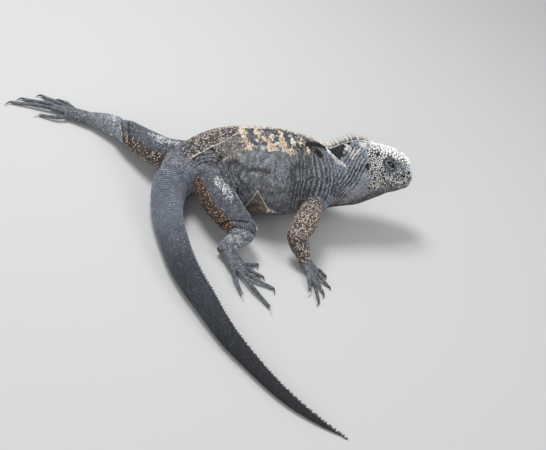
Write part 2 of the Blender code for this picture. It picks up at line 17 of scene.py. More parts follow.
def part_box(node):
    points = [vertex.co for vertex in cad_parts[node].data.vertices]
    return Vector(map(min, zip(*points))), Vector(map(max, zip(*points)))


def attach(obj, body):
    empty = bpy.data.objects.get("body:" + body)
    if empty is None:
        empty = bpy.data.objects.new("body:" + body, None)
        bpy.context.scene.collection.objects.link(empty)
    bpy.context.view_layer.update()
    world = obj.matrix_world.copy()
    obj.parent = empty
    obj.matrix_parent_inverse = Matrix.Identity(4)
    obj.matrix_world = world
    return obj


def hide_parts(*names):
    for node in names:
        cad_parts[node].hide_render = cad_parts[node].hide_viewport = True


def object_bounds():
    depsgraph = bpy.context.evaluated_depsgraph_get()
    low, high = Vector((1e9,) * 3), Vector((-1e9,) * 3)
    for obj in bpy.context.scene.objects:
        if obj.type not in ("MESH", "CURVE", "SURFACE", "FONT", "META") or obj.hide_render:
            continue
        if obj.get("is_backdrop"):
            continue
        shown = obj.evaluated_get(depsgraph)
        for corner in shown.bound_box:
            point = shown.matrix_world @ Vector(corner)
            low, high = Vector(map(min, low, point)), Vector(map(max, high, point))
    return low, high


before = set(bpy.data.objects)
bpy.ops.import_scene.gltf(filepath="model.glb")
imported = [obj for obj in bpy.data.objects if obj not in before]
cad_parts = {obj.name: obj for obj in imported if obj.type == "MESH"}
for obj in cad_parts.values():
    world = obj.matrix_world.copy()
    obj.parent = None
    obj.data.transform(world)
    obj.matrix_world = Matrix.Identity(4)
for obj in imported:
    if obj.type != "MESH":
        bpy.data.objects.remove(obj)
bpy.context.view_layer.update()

MM = 0.001
UP = np.array([0.0, 0.0, 1.0])

# The body is one row of sections from snout to tail tip: middle, half width, reach up and down
# from the middle, boxiness of the upper and lower halves, and the lean of the back to the left.
BODY = [
    (165, 86.7, 70.8, 3.6, 2.8, 5, 2.2, 2.2, 23), (163.2, 86.5, 70.8, 8.2, 8.7, 9.8, 2.3, 2.3, 23),
    (160, 86.1, 70.7, 12.5, 15.5, 13.5, 2.3, 2.4, 23), (153, 85.3, 70.5, 15, 23.7, 16.3, 2.3, 2.4, 23),
    (145, 84.3, 70.2, 18, 29.3, 19.5, 2.2, 2.3, 23), (135, 83.2, 69.9, 21, 32.3, 22.5, 2.2, 2.2, 23),
    (125, 82, 69.6, 23.5, 34, 28, 2.1, 2.1, 23), (114, 80.7, 69.3, 25, 35.3, 34, 2, 2, 22),
    (104, 79.3, 68.8, 25.5, 39.5, 38, 1.7, 2, 22), (92, 76.8, 67.6, 26.5, 42, 40.3, 1.55, 2, 21),
    (78, 73.2, 65.2, 29, 39.5, 39.8, 1.55, 2, 20), (64, 70.8, 61.6, 33, 36, 39.5, 1.6, 2, 18),
    (49, 70, 58.3, 39, 42, 42, 1.6, 2.1, 17), (27, 70.8, 55, 44, 48.5, 46.5, 1.55, 2.2, 17),
    (0, 70.8, 51.2, 48, 54, 50.5, 1.5, 2.3, 17), (-20, 71.3, 49.5, 48, 54, 50, 1.5, 2.3, 16),
    (-40, 73, 47.5, 46, 51.5, 48, 1.5, 2.3, 14), (-60, 77, 44.5, 41, 47.5, 44.5, 1.6, 2.2, 10),
    (-79.5, 77.5, 40.5, 35, 42, 40, 1.7, 2.1, 4), (-97, 71.5, 35.5, 29.5, 35.5, 36, 1.8, 2, -4),
    (-110.5, 58.5, 29.5, 25.5, 29, 30, 1.8, 2, -14), (-119.5, 41, 24.5, 21.5, 24.5, 24.5, 1.8, 2, -25),
]
# The tail lies on the floor, so its height there follows from its size: x, y, half, up, down.
TAIL = [
    (-122, 20, 18.5, 21.5, 20.5), (-119.5, -8, 15.5, 19, 17.8), (-112, -38, 14, 18, 16.5),
    (-103, -67, 13.2, 17.3, 15.6), (-90.5, -94, 12.2, 16, 14.4), (-75.5, -119.5, 11, 14.7, 13),
    (-61, -144, 9.6, 12.8, 11.4), (-45, -168, 8.5, 11.4, 10.2), (-26, -190, 7.2, 9.6, 8.6),
    (-6, -212, 6.2, 8.3, 7.4), (17, -233, 5.2, 6.9, 6.2), (45, -251.5, 3.4, 4.5, 4),
    (61, -260, 2.3, 2.9, 2.6), (80, -269, 1, 1.2, 1.1),
]
TAIL_LEAN = -35
TAIL_ROOF = 1.8
TAIL_KEEL = 2.0
FLOOR_SINK = 0.5          # a resting form reaches this far down before the floor flattens it

# Swellings of the head: back from the tip, angle down from the crown, reach along and round,
# and height.
SWELLINGS = [(36, 38, 9, 8, 2.2), (26, 58, 6, 12, -1.5), (50, 60, 7, 14, -1.0),
             (54, 95, 10, 18, 2.0), (11, 64, 5, 18, 1.4), (24, 108, 14, 8, 0.9)]
# Places on the head: back from the tip, and degrees down from the crown.
EYE = (37, 60)
EYE_RADIUS = 5.2
EYE_SUNK = 3.4            # the eyeball's middle lies this far under the surface
EYE_SLANT = -32
MOUTH_LINE = [(4, 92), (12, 107), (22, 105), (32, 98), (43, 90)]
NOSTRIL = (9.5, 71)
EAR = (65, 65)
EAR_SIZE = (2.2, 4.2)

# Limbs: middle of each joint, half width and half height.
LIMBS = {
    "right_upper_arm": [(47, 44, 50, 11.5, 13), (43, 23, 45, 13, 14), (36, 3, 39, 14.5, 15),
                        (28, -13, 32, 12.5, 13.5)],
    "right_forearm": [(27, -12, 31, 11.5, 12.5), (34, -20, 22, 11.5, 11.5), (40, -27, 14, 8, 8)],
    "left_upper_arm": [(47, 96, 50, 11.5, 13), (42, 117, 44, 13, 14), (32, 133, 38, 14.5, 15),
                       (24, 145, 31, 12.5, 13)],
    "left_forearm": [(24, 145, 30, 11.5, 12.5), (34, 152, 21.5, 11, 11.5), (44, 157, 13.5, 8, 8)],
    "right_thigh": [(-82, 52, 38, 19, 20), (-71, 30, 36, 20, 21), (-54, 6, 31, 20, 20),
                    (-33, -16, 27.5, 14.5, 15)],
    "right_shank": [(-31, -16, 26, 12.5, 13.5), (-40, -23, 19.5, 12, 12), (-50, -29, 12.5, 9.5, 9)],
    "left_thigh": [(-97, 88, 36, 19, 20), (-128, 90, 31, 20, 20), (-151, 108, 25.5, 18.5, 18.5),
                   (-175, 134, 18.5, 15.5, 15.5)],
    "left_shank": [(-173, 133, 17.5, 13.5, 14), (-198, 150, 14, 12.5, 12.5),
                   (-217, 158, 10.5, 9.5, 9.3)],
    "right_hand": [(40, -27, 11.5, 7.5, 7), (45, -32, 8, 9, 6.3), (51, -37, 6, 9, 5)],
    "left_hand": [(43, 156.5, 11.5, 7.5, 7), (50, 159, 8, 9, 6.3), (57, 161, 6, 9, 5)],
    "right_foot": [(-55, -28, 10, 8.5, 8), (-45, -41, 9, 9, 7.5), (-38, -51, 6.5, 11, 5.5)],
    "left_foot": [(-215, 157, 10, 8.5, 8), (-232, 162, 8.5, 9.5, 7.5), (-246, 167, 6.2, 11, 5.5)],
}
# Loose folds of skin that hang in front of the shoulders, as limbs are given.
SHOULDER_FOLDS = {
    "right_shoulder_fold": [(59, 43, 66, 9, 5), (60, 37, 53, 8, 4.5), (55, 30, 42, 6, 4)],
    "left_shoulder_fold": [(57, 96, 66, 9, 5), (57, 102, 54, 8, 4.5), (53, 108, 44, 6, 4)],
}
# Digits, thumb side first: knuckle, middle joint, end and claw point, seen from above.
DIGITS = {
    "right_hand": [[(53, -34), (61.5, -36), (68, -38.5), (67, -46)],
                   [(54, -36), (62.5, -47), (70.5, -54.5), (74, -61)],
                   [(53, -38), (58.5, -57), (64, -67.5), (63.5, -76)],
                   [(50, -38.5), (54.5, -62), (58, -81), (55.5, -89.5)],
                   [(46, -36), (47.5, -57), (48.5, -69), (46, -77)]],
    "left_hand": [[(57, 157), (66, 153), (74, 148.5), (82, 148)],
                  [(59, 159), (72, 160), (86, 158), (94, 155.5)],
                  [(59, 162), (76, 169), (93, 172), (102, 171)],
                  [(57, 164), (74, 180), (92, 188), (101, 188)],
                  [(53, 165), (60, 181), (70, 194), (76, 201)]],
    "right_foot": [[(-35, -49), (-24, -46.5), (-13.5, -40.5), (-12, -48.5)],
                   [(-33, -53), (-21, -55.5), (-9, -57.5), (-4, -64)],
                   [(-33, -56), (-17.5, -66.5), (3.5, -73.5), (7, -83.5)],
                   [(-35.5, -58), (-20, -80), (0, -103.5), (3, -115.5)],
                   [(-43, -54), (-38.5, -73), (-31, -91.5), (-29.5, -101)]],
    "left_foot": [[(-244, 176), (-254, 186.5), (-262.5, 193), (-270, 190)],
                  [(-249, 175), (-267, 185), (-284, 195), (-292.5, 192.5)],
                  [(-250, 172), (-279, 178), (-305, 182), (-314.5, 177.5)],
                  [(-249, 168.5), (-284, 170.5), (-317.5, 171), (-326, 163.5)],
                  [(-243, 161), (-261, 154.5), (-282, 156.5), (-290, 149.5)]],
}
DIGIT_RADIUS = {"hand": (2.9, 2.1), "foot": (3.4, 2.3)}
KNUCKLE_HEIGHT = 6.0
DIGIT_ARCH = 5.2
CLAW_POINT_HEIGHT = 0.6
CLAW_RADIUS = 1.7
CLAW_HUMP = 1.1
PALE_CLAWS = {"right_foot": (4, 5), "right_hand": (5,), "left_foot": (5,), "left_hand": (2,)}

# Lids: half sizes along and across of the opening, of the lids and of the oval that the skin's
# scales leave free for them.
SLIT = (5.7, 2.7)
LIDS = (9.8, 8.6)
LIDS_CLEAR = (10.4, 9.2)
EYE_OPENING = (5.9, 3.1)  # the opening, drawn dark as painted shade, as the colours round it take it
LID_BALL = 5.9            # the lids' curve over the eyeball
LID_THICKNESS = 0.9
LID_RINGS = 30
LID_TURNS = 96
LID_EDGE_SUNK = 0.25      # the lids end this far under the skin
BEADS_RAISED = 0.05       # the beads stand this far above it
BEAD_ROWS = (0.24, 0.36, 0.48, 0.60, 0.73, 0.87, 1.0)

# Finish of the surface.
SKIN_DEPTH = 0.55         # the bare skin lies this far inside the outer shape, under its scales
VOXEL = 1.3
SHELL_STEP = 1.5          # how far apart the rings of a form are
BODY_SIDES = 96
LIMB_SIDES = 28
FLOOR_CLEARANCE = 0.02    # what lies lower is raised to this height above the floor
RIM_TURNS = (-40, -55, -62, -50)     # where a thigh's front fold lies, from its hip to its knee
# Where the crease between a thigh and its shank lies: degrees round the thigh, share along it.
KNEE_CREASE = [(3, 0.975), (14, 0.96), (28, 0.92), (39, 0.88), (52, 0.84), (61, 0.80), (82, 0.77),
               (97, 0.75)]
MM_PER_DEGREE = 0.62      # how far a degree round the trunk reaches, on the average
# The skin between the scales is drawn darker as painted shade; on the head it is near black, partly the
# head's own dark skin and partly painted shade.
GAP_SHADE = 0.38          # painted shade: how light the skin is drawn between its scales, and on the head
HEAD_GAP_SHADE = 0.05
# Rectangles on the unwrap: left, bottom, width and height. The tubes' lie in lines below the
# body's.
BODY_CHART = (0.01, 0.36, 0.98, 0.63)
TUBE_CHART = (0.01, 0.01, 0.117, 0.064)
TUBE_CHART_STEP = (0.1225, 0.07)
TUBES_IN_LINE = 8
MAP_PATCH = 0.0015        # the size of a scale on the unwrap
LARGE_SCALE = 2.0         # the crown's plates are longer than this
HEAD_END = 72             # back from the tip: the pattern of the head's scales ends here
TAIL_RINGS = 300          # from here on the scales stand in straight rings
FOLDS_END = 150           # the finer skin of head, neck and shoulder ends here
# Scales of the body by distance from the tip: their length and width.
SCALE_PLACES = (0, 72, 100, 140, 170, 270, 305, 450, 600, 705)
SCALE_LENGTHS = (1.7, 1.55, 1.42, 1.45, 1.55, 1.6, 2.7, 2.9, 2.4, 1.6)
SCALE_WIDTHS = (1.7, 1.55, 1.42, 1.45, 1.55, 1.6, 2.1, 2.1, 1.7, 1.0)
PAW_SCALE = 1.5
LIMB_SCALE = 1.65
BEAD_HEIGHT = 0.36        # of the small scales on trunk and limbs
PAW_HEIGHT = 0.2
HEAD_HEIGHTS = [(0.9, 0.14), (1.2, 0.24), (1.6, 0.4), (2.2, 0.8), (3.4, 2.2)]    # by scale size
TAIL_HEIGHTS = [(300, 0.6), (450, 0.62), (600, 0.5), (705, 0.3)]    # by distance from the tip
ROW_TURNS = 144           # how many steps a row of scales is measured in
ROW_STEP = 0.88           # rows of scales lie this share of a scale's length apart
# Stretches of the body's coat: where each starts and stops, and its slot.
STRETCHES = [("head", 0, HEAD_END, "skin_head"), ("neck", HEAD_END, 119, "skin_body"),
             ("chest", 119, 160, "skin_body"), ("belly", 160, 205, "skin_body"),
             ("loin", 205, 250, "skin_body"), ("pelvis", 250, TAIL_RINGS, "skin_body"),
             ("tail_base", TAIL_RINGS, 420, "skin_tail"), ("tail", 420, 999, "skin_tail")]
LIMB_COATS = {"arm": ("arm", "shoulder"), "hand": ("hand",), "leg": ("thigh", "shank"),
              "foot": ("foot",)}
# Shapes of scales, ring by ring from the foot: length, width, height, and how far the rear end
# is raised.
BEAD = [(1.0, 1.0, -0.45, 0), (0.82, 0.82, 0.55, 0.15), (0.0, 0.0, 1.0, 0.15)]
KNOB = [(1.0, 1.0, -0.5, 0), (0.93, 0.93, 0.28, 0), (0.66, 0.66, 0.7, 0.05),
        (0.28, 0.28, 0.98, 0.05)]
DOME = [(1.0, 1.0, -0.45, 0), (0.88, 0.88, 0.45, 0.05), (0.42, 0.42, 0.95, 0.1)]
KEEL = [(0.98, 1.0, -0.45, 0), (0.74, 0.94, 0.35, 0.35), (0.5, 0.35, 0.85, 0.5)]
PLATE = [(1.0, 1.0, -0.45, 0), (0.9, 0.92, 0.6, 0.15), (0.5, 0.5, 1.0, 0.25)]

# Shed skin. The flap's outline gives the share from its top down, its rear and front edges and
# degrees from the crest.
FLAKE_THICKNESS = 0.12
FLAKE_SPREAD = 4.6        # a stroke has one flake on each side for this much of its area
FLAP_THICKNESS = 0.3
FLAP_STEPS = 40
FLAP_OUTLINE = [(0, 190, 189, 95), (0.5, 199, 173, 126), (0.75, 198, 174, 142), (1, 194, 178, 154)]
SHED_EDGE = [(281, 2), (274, 15), (262, 27), (250, 32), (238, 34), (226, 27), (217, 17), (212, 9)]
SHED_EDGE_WIDTH = 1.15
SHED_EDGE_HEIGHT = 0.6
SHED_EDGE_RINGS = 220

SPINE_ROOT = 1.5          # how deep a spine of the crest starts, under the skin
SPINE_SWEEP = 0.62

# The view: the camera's angles, its distance and lens, and the height that it looks at.
VIEW_AZIMUTH = 15
VIEW_ELEVATION = 40
VIEW_ROLL = 20
VIEW_DISTANCE = 1250
VIEW_TARGET_HEIGHT = 30
VIEW_LENS = 71.7
FLOOR_REACH = 60000
FLOOR_GREY = (0.60, 0.60, 0.59)
SKY = (0.92, 0.95, 1.0)
SKY_STRENGTH = 0.40
# Soft lights: place and size in metres, and power.
LIGHTS = [((-0.35, 0.55, 1.25), 0.45, 13.5), ((0.9, -0.2, 1.0), 0.6, 3.5),
          ((-0.5, -1.2, 0.8), 0.9, 5.5)]

# Colours, as the photo shows them

SLATE = (0.240, 0.249, 0.276)
SLATE_DARK = (0.105, 0.110, 0.128)
FLECK = (0.44, 0.43, 0.45)
CROWN = (0.92, 0.89, 0.84)
CROWN_FLECK = (0.16, 0.16, 0.17)
FACE = (0.300, 0.335, 0.375)
FACE_PALE = (0.92, 0.90, 0.84)
FACE_DARK = (0.06, 0.065, 0.078)
UPPER_LIP = (0.64, 0.65, 0.64)
LOWER_LIP = (0.36, 0.37, 0.37)
# Painted shade in the crease round the lids and in the eye's opening, and a painted highlight on the
# lower lid's edge.
LID_CREASE_SHADE = (0.035, 0.040, 0.050)
LOWER_LID_HIGHLIGHT = (0.60, 0.57, 0.48)
EYE_OPENING_SHADE = (0.035, 0.036, 0.042)
EYE_BLACK = (0.006, 0.005, 0.005)
IRIS_BROWN = (0.045, 0.022, 0.012)
THROAT_ROSE = (0.33, 0.275, 0.29)
# Painted highlights for the crests of the neck's and flank's folds.
NECK_FOLD_HIGHLIGHT = (0.46, 0.51, 0.58)
FLANK_FOLD_HIGHLIGHT = (0.42, 0.45, 0.50)
BLACK = (0.012, 0.012, 0.015)
WHITE = (0.90, 0.88, 0.86)
CRUST = (0.90, 0.87, 0.81)
PEACH = (0.78, 0.58, 0.45)
ORANGE = (0.60, 0.38, 0.22)
SHED = (0.88, 0.78, 0.64)
SHED_PEACH = (0.80, 0.60, 0.43)
SHED_GREY = (0.235, 0.225, 0.215)
RIDGE = (0.76, 0.61, 0.48)
FLAP_BROWN = (0.105, 0.088, 0.070)
FLAP_TAN = (0.34, 0.285, 0.215)
FLAP_PALE = (0.42, 0.36, 0.28)
FLAP_DARK = (0.035, 0.030, 0.027)
NAVY = (0.050, 0.056, 0.075)
ARM_TOP = (0.070, 0.072, 0.086)
THIGH_REAR = (0.085, 0.062, 0.055)
# Painted highlight along a thigh's front fold, and painted shade in the knee's crease.
THIGH_RIM_HIGHLIGHT = (0.66, 0.72, 0.80)
KNEE_CREASE_SHADE = (0.02, 0.02, 0.024)
KNEE_FLECK = (0.70, 0.73, 0.77)
TOE_DARK = (0.075, 0.08, 0.092)
TOE_END = (0.24, 0.25, 0.27)
CLAW_ROOT = (0.10, 0.09, 0.085)
CLAW_DARK = (0.022, 0.020, 0.020)
CLAW_PALE_ROOT = (0.40, 0.37, 0.33)
CLAW_PALE = (0.82, 0.79, 0.72)

# Pairs: the ground colour of a region, and the colour of odd scales in it.
CHEEK = (0.60, 0.62, 0.63), (0.94, 0.92, 0.87)
JAW = (0.42, 0.41, 0.37), (0.92, 0.86, 0.68)
TEMPLE = (0.90, 0.88, 0.84), WHITE
SNOUT = (0.66, 0.70, 0.74), (0.95, 0.95, 0.93)
LID = (0.170, 0.192, 0.225), (0.50, 0.55, 0.60)
NECK = (0.205, 0.228, 0.270), (0.52, 0.56, 0.62)
THROAT = (0.190, 0.182, 0.206), (0.42, 0.40, 0.42)
UNDER_THROAT = (0.036, 0.031, 0.031), (0.20, 0.17, 0.17)
SHOULDER_FOLD = NECK[0], (0.5, 0.55, 0.62)
SHOULDER = (0.15, 0.17, 0.21), (0.5, 0.5, 0.54)
TAIL_BASE = (0.180, 0.202, 0.245), (0.36, 0.40, 0.47)
TAIL_MIDDLE = (0.052, 0.061, 0.076), (0.12, 0.135, 0.160)
TAIL_TIP = (0.022, 0.024, 0.028), (0.05, 0.055, 0.065)
THIGH = (0.128, 0.138, 0.162), (0.36, 0.38, 0.42)
THIGH_UNDER = (0.19, 0.145, 0.135), (0.52, 0.38, 0.30)
THIGH_PATCH = (0.16, 0.17, 0.19), (0.82, 0.84, 0.86)
SHANK = (0.245, 0.268, 0.305), (0.46, 0.48, 0.52)
SHANK_CRUST = (0.30, 0.325, 0.36), (0.80, 0.82, 0.84)
TOE = (0.165, 0.176, 0.200), (0.34, 0.36, 0.39)

# Stretches of the crest: name, slot, start, stop and step along the body, heights at the
# start, middle and end, each spine's length and thickness, and the colours of root and top.
# The roots' dark colours are painted shade between the spines.
CRESTS = [
    ("crest_nape", "skin_head", 55, 108, 3.3, (5, 12.5, 7), 3.1, 1.7,
     (0.10, 0.095, 0.09), (0.90, 0.84, 0.73)),
    ("crest_back", "skin_body", 105, 290, 2.9, (3.2, 2.5, 2.2), 2.6, 1.3,
     (0.2, 0.19, 0.18), SHED),
    ("crest_tail", "skin_tail", 293, 470, 4.0, (2.4, 3.0, 2.6), 3.4, 1.4,
     (0.10, 0.11, 0.13), (0.22, 0.23, 0.25)),
    ("crest_tail_end", "skin_tail", 473, 690, 3.6, (2.4, 2.0, 1.2), 3.0, 1.1,
     (0.05, 0.05, 0.06), (0.10, 0.10, 0.11)),
]

# Ragged strokes of peeling and bare skin: the places that each runs through, as distance from
# the tip and degrees down from the crest, its half width, colour and strength.
STROKES = [
    ([(247, 35), (241, 45), (234, 53), (227, 57)], 1.1, BLACK, 0.85),
    ([(230, 58), (220, 53), (211, 50)], 0.9, SHED, 1.0),
    ([(213, 49), (212, 38), (214, 28)], 0.8, SHED, 0.9),
    ([(216, 8), (212, 24), (210, 34), (206, 40)], 3.4, SHED_PEACH, 1.0),
    ([(201, 10), (197, 26), (201, 36)], 2.6, SHED_PEACH, 1.0),
    ([(193, 14), (190, 26), (184, 34), (177, 40)], 3.6, SHED_PEACH, 1.0),
    ([(184, 20), (178, 30), (170, 36)], 2.2, SHED, 1.0),
    ([(171, 14), (168, 28), (162, 36), (153, 39)], 3.8, SHED_PEACH, 1.0),
    ([(158, 12), (156, 22), (151, 31)], 2.8, SHED, 1.0),
    ([(148, 17), (141, 26), (135, 35)], 3.2, SHED_PEACH, 1.0),
    ([(206, 39), (196, 38), (186, 39), (176, 41), (164, 40), (152, 39)], 1.4, SHED, 0.9),
    ([(218, 3), (200, 3), (184, 4)], 2.4, SHED, 0.9),
    ([(178, 3), (164, 4), (148, 4), (128, 4), (112, 5)], 1.5, SHED, 0.7),
    ([(134, 22), (122, 14), (112, 9)], 4.4, BLACK, 1.0),
    ([(124, 26), (117, 33)], 3.4, BLACK, 1.0),
    ([(104, 8), (95, 12), (86, 10)], 6.2, BLACK, 1.0),
    ([(99, 20), (93, 34)], 4.6, BLACK, 1.0),
    ([(94, 26), (88, 18)], 4.0, BLACK, 1.0),
    ([(110, 7), (105, 22), (100, 35), (96, 44), (91, 53)], 1.5, CRUST, 1.0),
    ([(86, 11), (84.5, 24), (84, 34)], 1.1, CRUST, 0.9),
    ([(84, 26), (82, 34), (81, 42)], 4.2, CRUST, 1.0),
    ([(70, 16), (71, 26), (74, 35), (78, 41)], 2.3, CRUST, 1.0),
    ([(66, 19), (68, 25)], 2.4, CRUST, 1.0),
    ([(112, 3), (98, 4), (84, 4), (70, 4), (58, 3)], 2.6, CRUST, 1.0),
    ([(173, 128), (166, 136)], 1.6, WHITE, 0.9),
]
RNG = np.random.default_rng(11)


# Smooth curves and noise

def soft_step(x, low, high):
    t = np.clip((x - low) / (high - low), 0, 1)
    return t * t * (3 - 2 * t)


def window(x, low, high, soft):
    """1 between low and high, fading to 0 over soft at each end."""
    return soft_step(x, low - soft, low) * (1 - soft_step(x, high, high + soft))


def hill(x, middle, reach):
    return np.exp(-((x - middle) / reach) ** 2)


def wrapped(angle):
    """The same angle between minus and plus half a turn."""
    return (angle + math.pi) % math.tau - math.pi


def unit(v):
    return v / np.maximum(np.linalg.norm(v, axis=-1, keepdims=True), 1e-9)


def lattice(cell, seed):
    """A repeatable value from 0 to 1 for each corner of a whole-number grid."""
    x, y, z = (cell[:, k].astype(np.int64).astype(np.uint32) for k in range(3))
    h = x * np.uint32(374761393) + y * np.uint32(668265263) + z * np.uint32(2246822519)
    h = h + np.uint32(seed * 974711 + 12345)
    h = (h ^ (h >> np.uint32(13))) * np.uint32(1274126177)
    h = (h ^ (h >> np.uint32(16))) * np.uint32(2654435761)
    return (h ^ (h >> np.uint32(15))).astype(float) / 2 ** 32


def noise(points, size, seed):
    """Smooth noise from about -1 to 1 whose lumps are about size across."""
    q = points / size
    cell = np.floor(q)
    t = q - cell
    t = t * t * (3 - 2 * t)
    total = np.zeros(len(points))
    for corner in range(8):
        bits = np.array([corner & 1, corner >> 1 & 1, corner >> 2 & 1])
        weight = np.prod(np.where(bits, t, 1 - t), axis=1)
        total += weight * lattice(cell + bits, seed)
    return total * 2 - 1


def rough_noise(points, size, seed):
    return noise(points, size, seed) * 0.6 + noise(points, size * 0.45, seed + 50) * 0.4


def mix(a, b, share):
    share = np.asarray(share)[:, None]
    return np.asarray(a) * (1 - share) + np.asarray(b) * share


# Anatomy

class Curve:
    """A smooth curve through a table of rows, read at distances along it."""

    def __init__(self, rows):
        self.rows = np.array(rows, float)
        steps = np.linalg.norm(np.diff(self.rows[:, :3], axis=0), axis=1)
        self.knots = np.concatenate([[0.0], np.cumsum(steps)])
        self.slopes = np.gradient(self.rows, self.knots, axis=0)
        self.end = self.knots[-1]

    def read(self, s):
        i = np.clip(np.searchsorted(self.knots, s) - 1, 0, len(self.knots) - 2)
        span = (self.knots[i + 1] - self.knots[i])[:, None]
        t = (s - self.knots[i])[:, None] / span
        near = self.rows[i] * (1 + 2 * t) * (1 - t) ** 2 + self.slopes[i] * span * t * (1 - t) ** 2
        far = self.rows[i + 1] * t * t * (3 - 2 * t) - self.slopes[i + 1] * span * t * t * (1 - t)
        return near + far

    def heading(self, s, reach):
        """The way that distance along the curve grows."""
        after = self.read(np.minimum(s + reach, self.end))
        before = self.read(np.maximum(s - reach, 0))
        return unit((after - before)[:, :3])


class Body(Curve):
    """Head, trunk and tail. The angle is 0 at the crest and positive to the animal's left."""

    def __init__(self):
        rows = [list(row) for row in BODY]
        lean = math.radians(TAIL_LEAN)
        for x, y, half, up, down in TAIL:
            reach = math.hypot(half * math.sin(lean), down * math.cos(lean))
            z = reach - FLOOR_SINK
            rows.append([x, y, z, half, up, down, TAIL_ROOF, TAIL_KEEL, TAIL_LEAN])
        super().__init__(rows)
        self.size = self.end
        self.chart = BODY_CHART

    def frames(self, s):
        section = self.read(s)
        forward = -self.heading(s, 0.5)
        level_left = unit(np.cross(UP, forward))
        level_up = np.cross(forward, level_left)
        lean = np.radians(section[:, 8:9])
        up = level_up * np.cos(lean) + level_left * np.sin(lean)
        left = level_left * np.cos(lean) - level_up * np.sin(lean)
        return section[:, :3], forward, left, up, section

    def points(self, s, angle, grow=0.0):
        middle, _, left, up, section = self.frames(s)
        sine, cosine = np.sin(angle), np.cos(angle)
        above = cosine > 0
        rise = np.where(above, section[:, 4], section[:, 5])
        shape = np.where(above, section[:, 6], section[:, 7])
        side = section[:, 3] * np.sign(sine) * np.abs(sine) ** (2 / shape)
        height = rise * np.sign(cosine) * np.abs(cosine) ** (2 / shape)
        out = unit(np.stack([side / section[:, 3] ** 2, height / rise ** 2], 1))
        lift = grow + swelling(s, angle)
        return (middle + left * (side + out[:, 0] * lift)[:, None]
                + up * (height + out[:, 1] * lift)[:, None])


class Tube(Curve):
    """A limb or digit with a domed end. The angle is 0 on top."""

    def __init__(self, joints, number, knuckles=0.0):
        super().__init__(joints)
        self.dome = (self.rows[-1, 3] + self.rows[-1, 4]) / 2 * 0.9
        self.size = self.end + self.dome
        self.knuckles = knuckles
        line, column = divmod(number, TUBES_IN_LINE)
        self.chart = (TUBE_CHART[0] + TUBE_CHART_STEP[0] * column,
                      TUBE_CHART[1] + TUBE_CHART_STEP[1] * line, *TUBE_CHART[2:])

    def frames(self, s):
        inside = np.minimum(s, self.end)
        row = self.read(inside)
        forward = self.heading(inside, 0.3)
        side = unit(np.cross(forward, UP))
        up = np.cross(side, forward)
        middle = row[:, :3] + forward * (s - inside)[:, None]
        return middle, forward, side, up, row

    def points(self, s, angle, grow=0.0):
        middle, _, side, up, row = self.frames(s)
        shrink = np.sqrt(np.clip(1 - ((s - self.end) / self.dome).clip(0, 1) ** 2, 0, 1))
        bulge = 1 + self.knuckles * (np.cos(s / self.end * 2 * math.tau) - 0.6)
        wide = (row[:, 3] * bulge + grow) * shrink * np.sin(angle)
        tall = (row[:, 4] * bulge + grow) * shrink * np.cos(angle)
        return middle + side * wide[:, None] + up * tall[:, None]


def swelling(s, angle):
    """How far the head's brows, cheeks and lips stand out at a place."""
    degrees = np.abs(np.degrees(wrapped(angle)))
    total = np.zeros(np.broadcast(s, angle).shape)
    for back, turn, along, around, height in SWELLINGS:
        total += height * np.exp(-((s - back) / along) ** 2 - ((degrees - turn) / around) ** 2)
    return total


def one(part, s, angle, grow=0.0):
    """A single point of a part."""
    return part.points(np.array([float(s)]), np.array([float(angle)]), grow)[0]


def surface_frame(part, s, angle):
    """A point on a part with its outward direction, the way along and the way round."""
    here = one(part, s, angle)
    ahead = unit(one(part, s - 1, angle) - one(part, s + 1, angle))
    around = one(part, s, angle + 0.05) - one(part, s, angle - 0.05)
    out = unit(np.cross(around, ahead))
    middle = part.frames(np.array([float(s)]))[0][0]
    if out @ (here - middle) < 0:
        out = -out
    return here, out, ahead, np.cross(out, ahead)


def eye_place(side):
    """Middle of an eyeball, the way it looks, and the directions along and across its slit."""
    here, out, ahead = surface_frame(body, EYE[0], side * math.radians(EYE[1]))[:3]
    slant = math.radians(EYE_SLANT)
    rise = body.frames(np.array([float(EYE[0])]))[3][0]
    rise = unit(rise - out * (rise @ out))
    ahead = unit(ahead - rise * (ahead @ rise))
    along = ahead * math.cos(slant) + rise * math.sin(slant)
    return here - out * EYE_SUNK, out, along, np.cross(out, along)


def is_paw(name):
    """True for hands, feet and their digits."""
    return "hand" in name or "foot" in name


def side_name(side):
    return "left" if side > 0 else "right"


def digit_joints(name, points):
    """Middle line of a digit from its knuckle to its end, with its thickness."""
    thick, thin = DIGIT_RADIUS[name.split("_")[1]]
    heights = (KNUCKLE_HEIGHT, DIGIT_ARCH, thin - FLOOR_SINK + 0.2)
    sizes = (thick, (thick + thin) / 2, thin)
    return [(x, y, z, r, r) for (x, y), z, r in zip(points[:3], heights, sizes)]


def all_parts():
    """Every form of the animal by name, the body first, moved to where the frame has it."""
    tubes = {name: (joints, 0.0) for name, joints in LIMBS.items()}
    for name, digits in DIGITS.items():
        for number, points in enumerate(digits, 1):
            tubes[f"{name}_digit_{number}"] = (digit_joints(name, points), 0.06)
    tubes.update({name: (joints, 0.0) for name, joints in SHOULDER_FOLDS.items()})
    parts = {"body": body}
    for number, (name, (joints, knuckles)) in enumerate(tubes.items()):
        parts[name] = Tube(joints, number, knuckles)
        parts[name].rows[:, :2] += SHIFT[:2]
    return parts


body = Body()
low, high = (np.array(corner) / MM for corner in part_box("eye_right"))
SHIFT = (low + high) / 2 - eye_place(-1)[0]
body.rows[:, :2] += SHIFT[:2]
PARTS = all_parts()
NAMES = list(PARTS)
FLESH = [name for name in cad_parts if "claw" not in name and "eye" not in name]


def chart_place(number, s, angle):
    """Where a place lies on the unwrap that every piece of the skin shares."""
    part = PARTS[NAMES[number]]
    u0, v0, wide, tall = part.chart
    turn = (angle / math.tau + 0.5) % 1
    return np.stack([u0 + wide * s / part.size, v0 + tall * turn], -1)


# Meshes from arrays

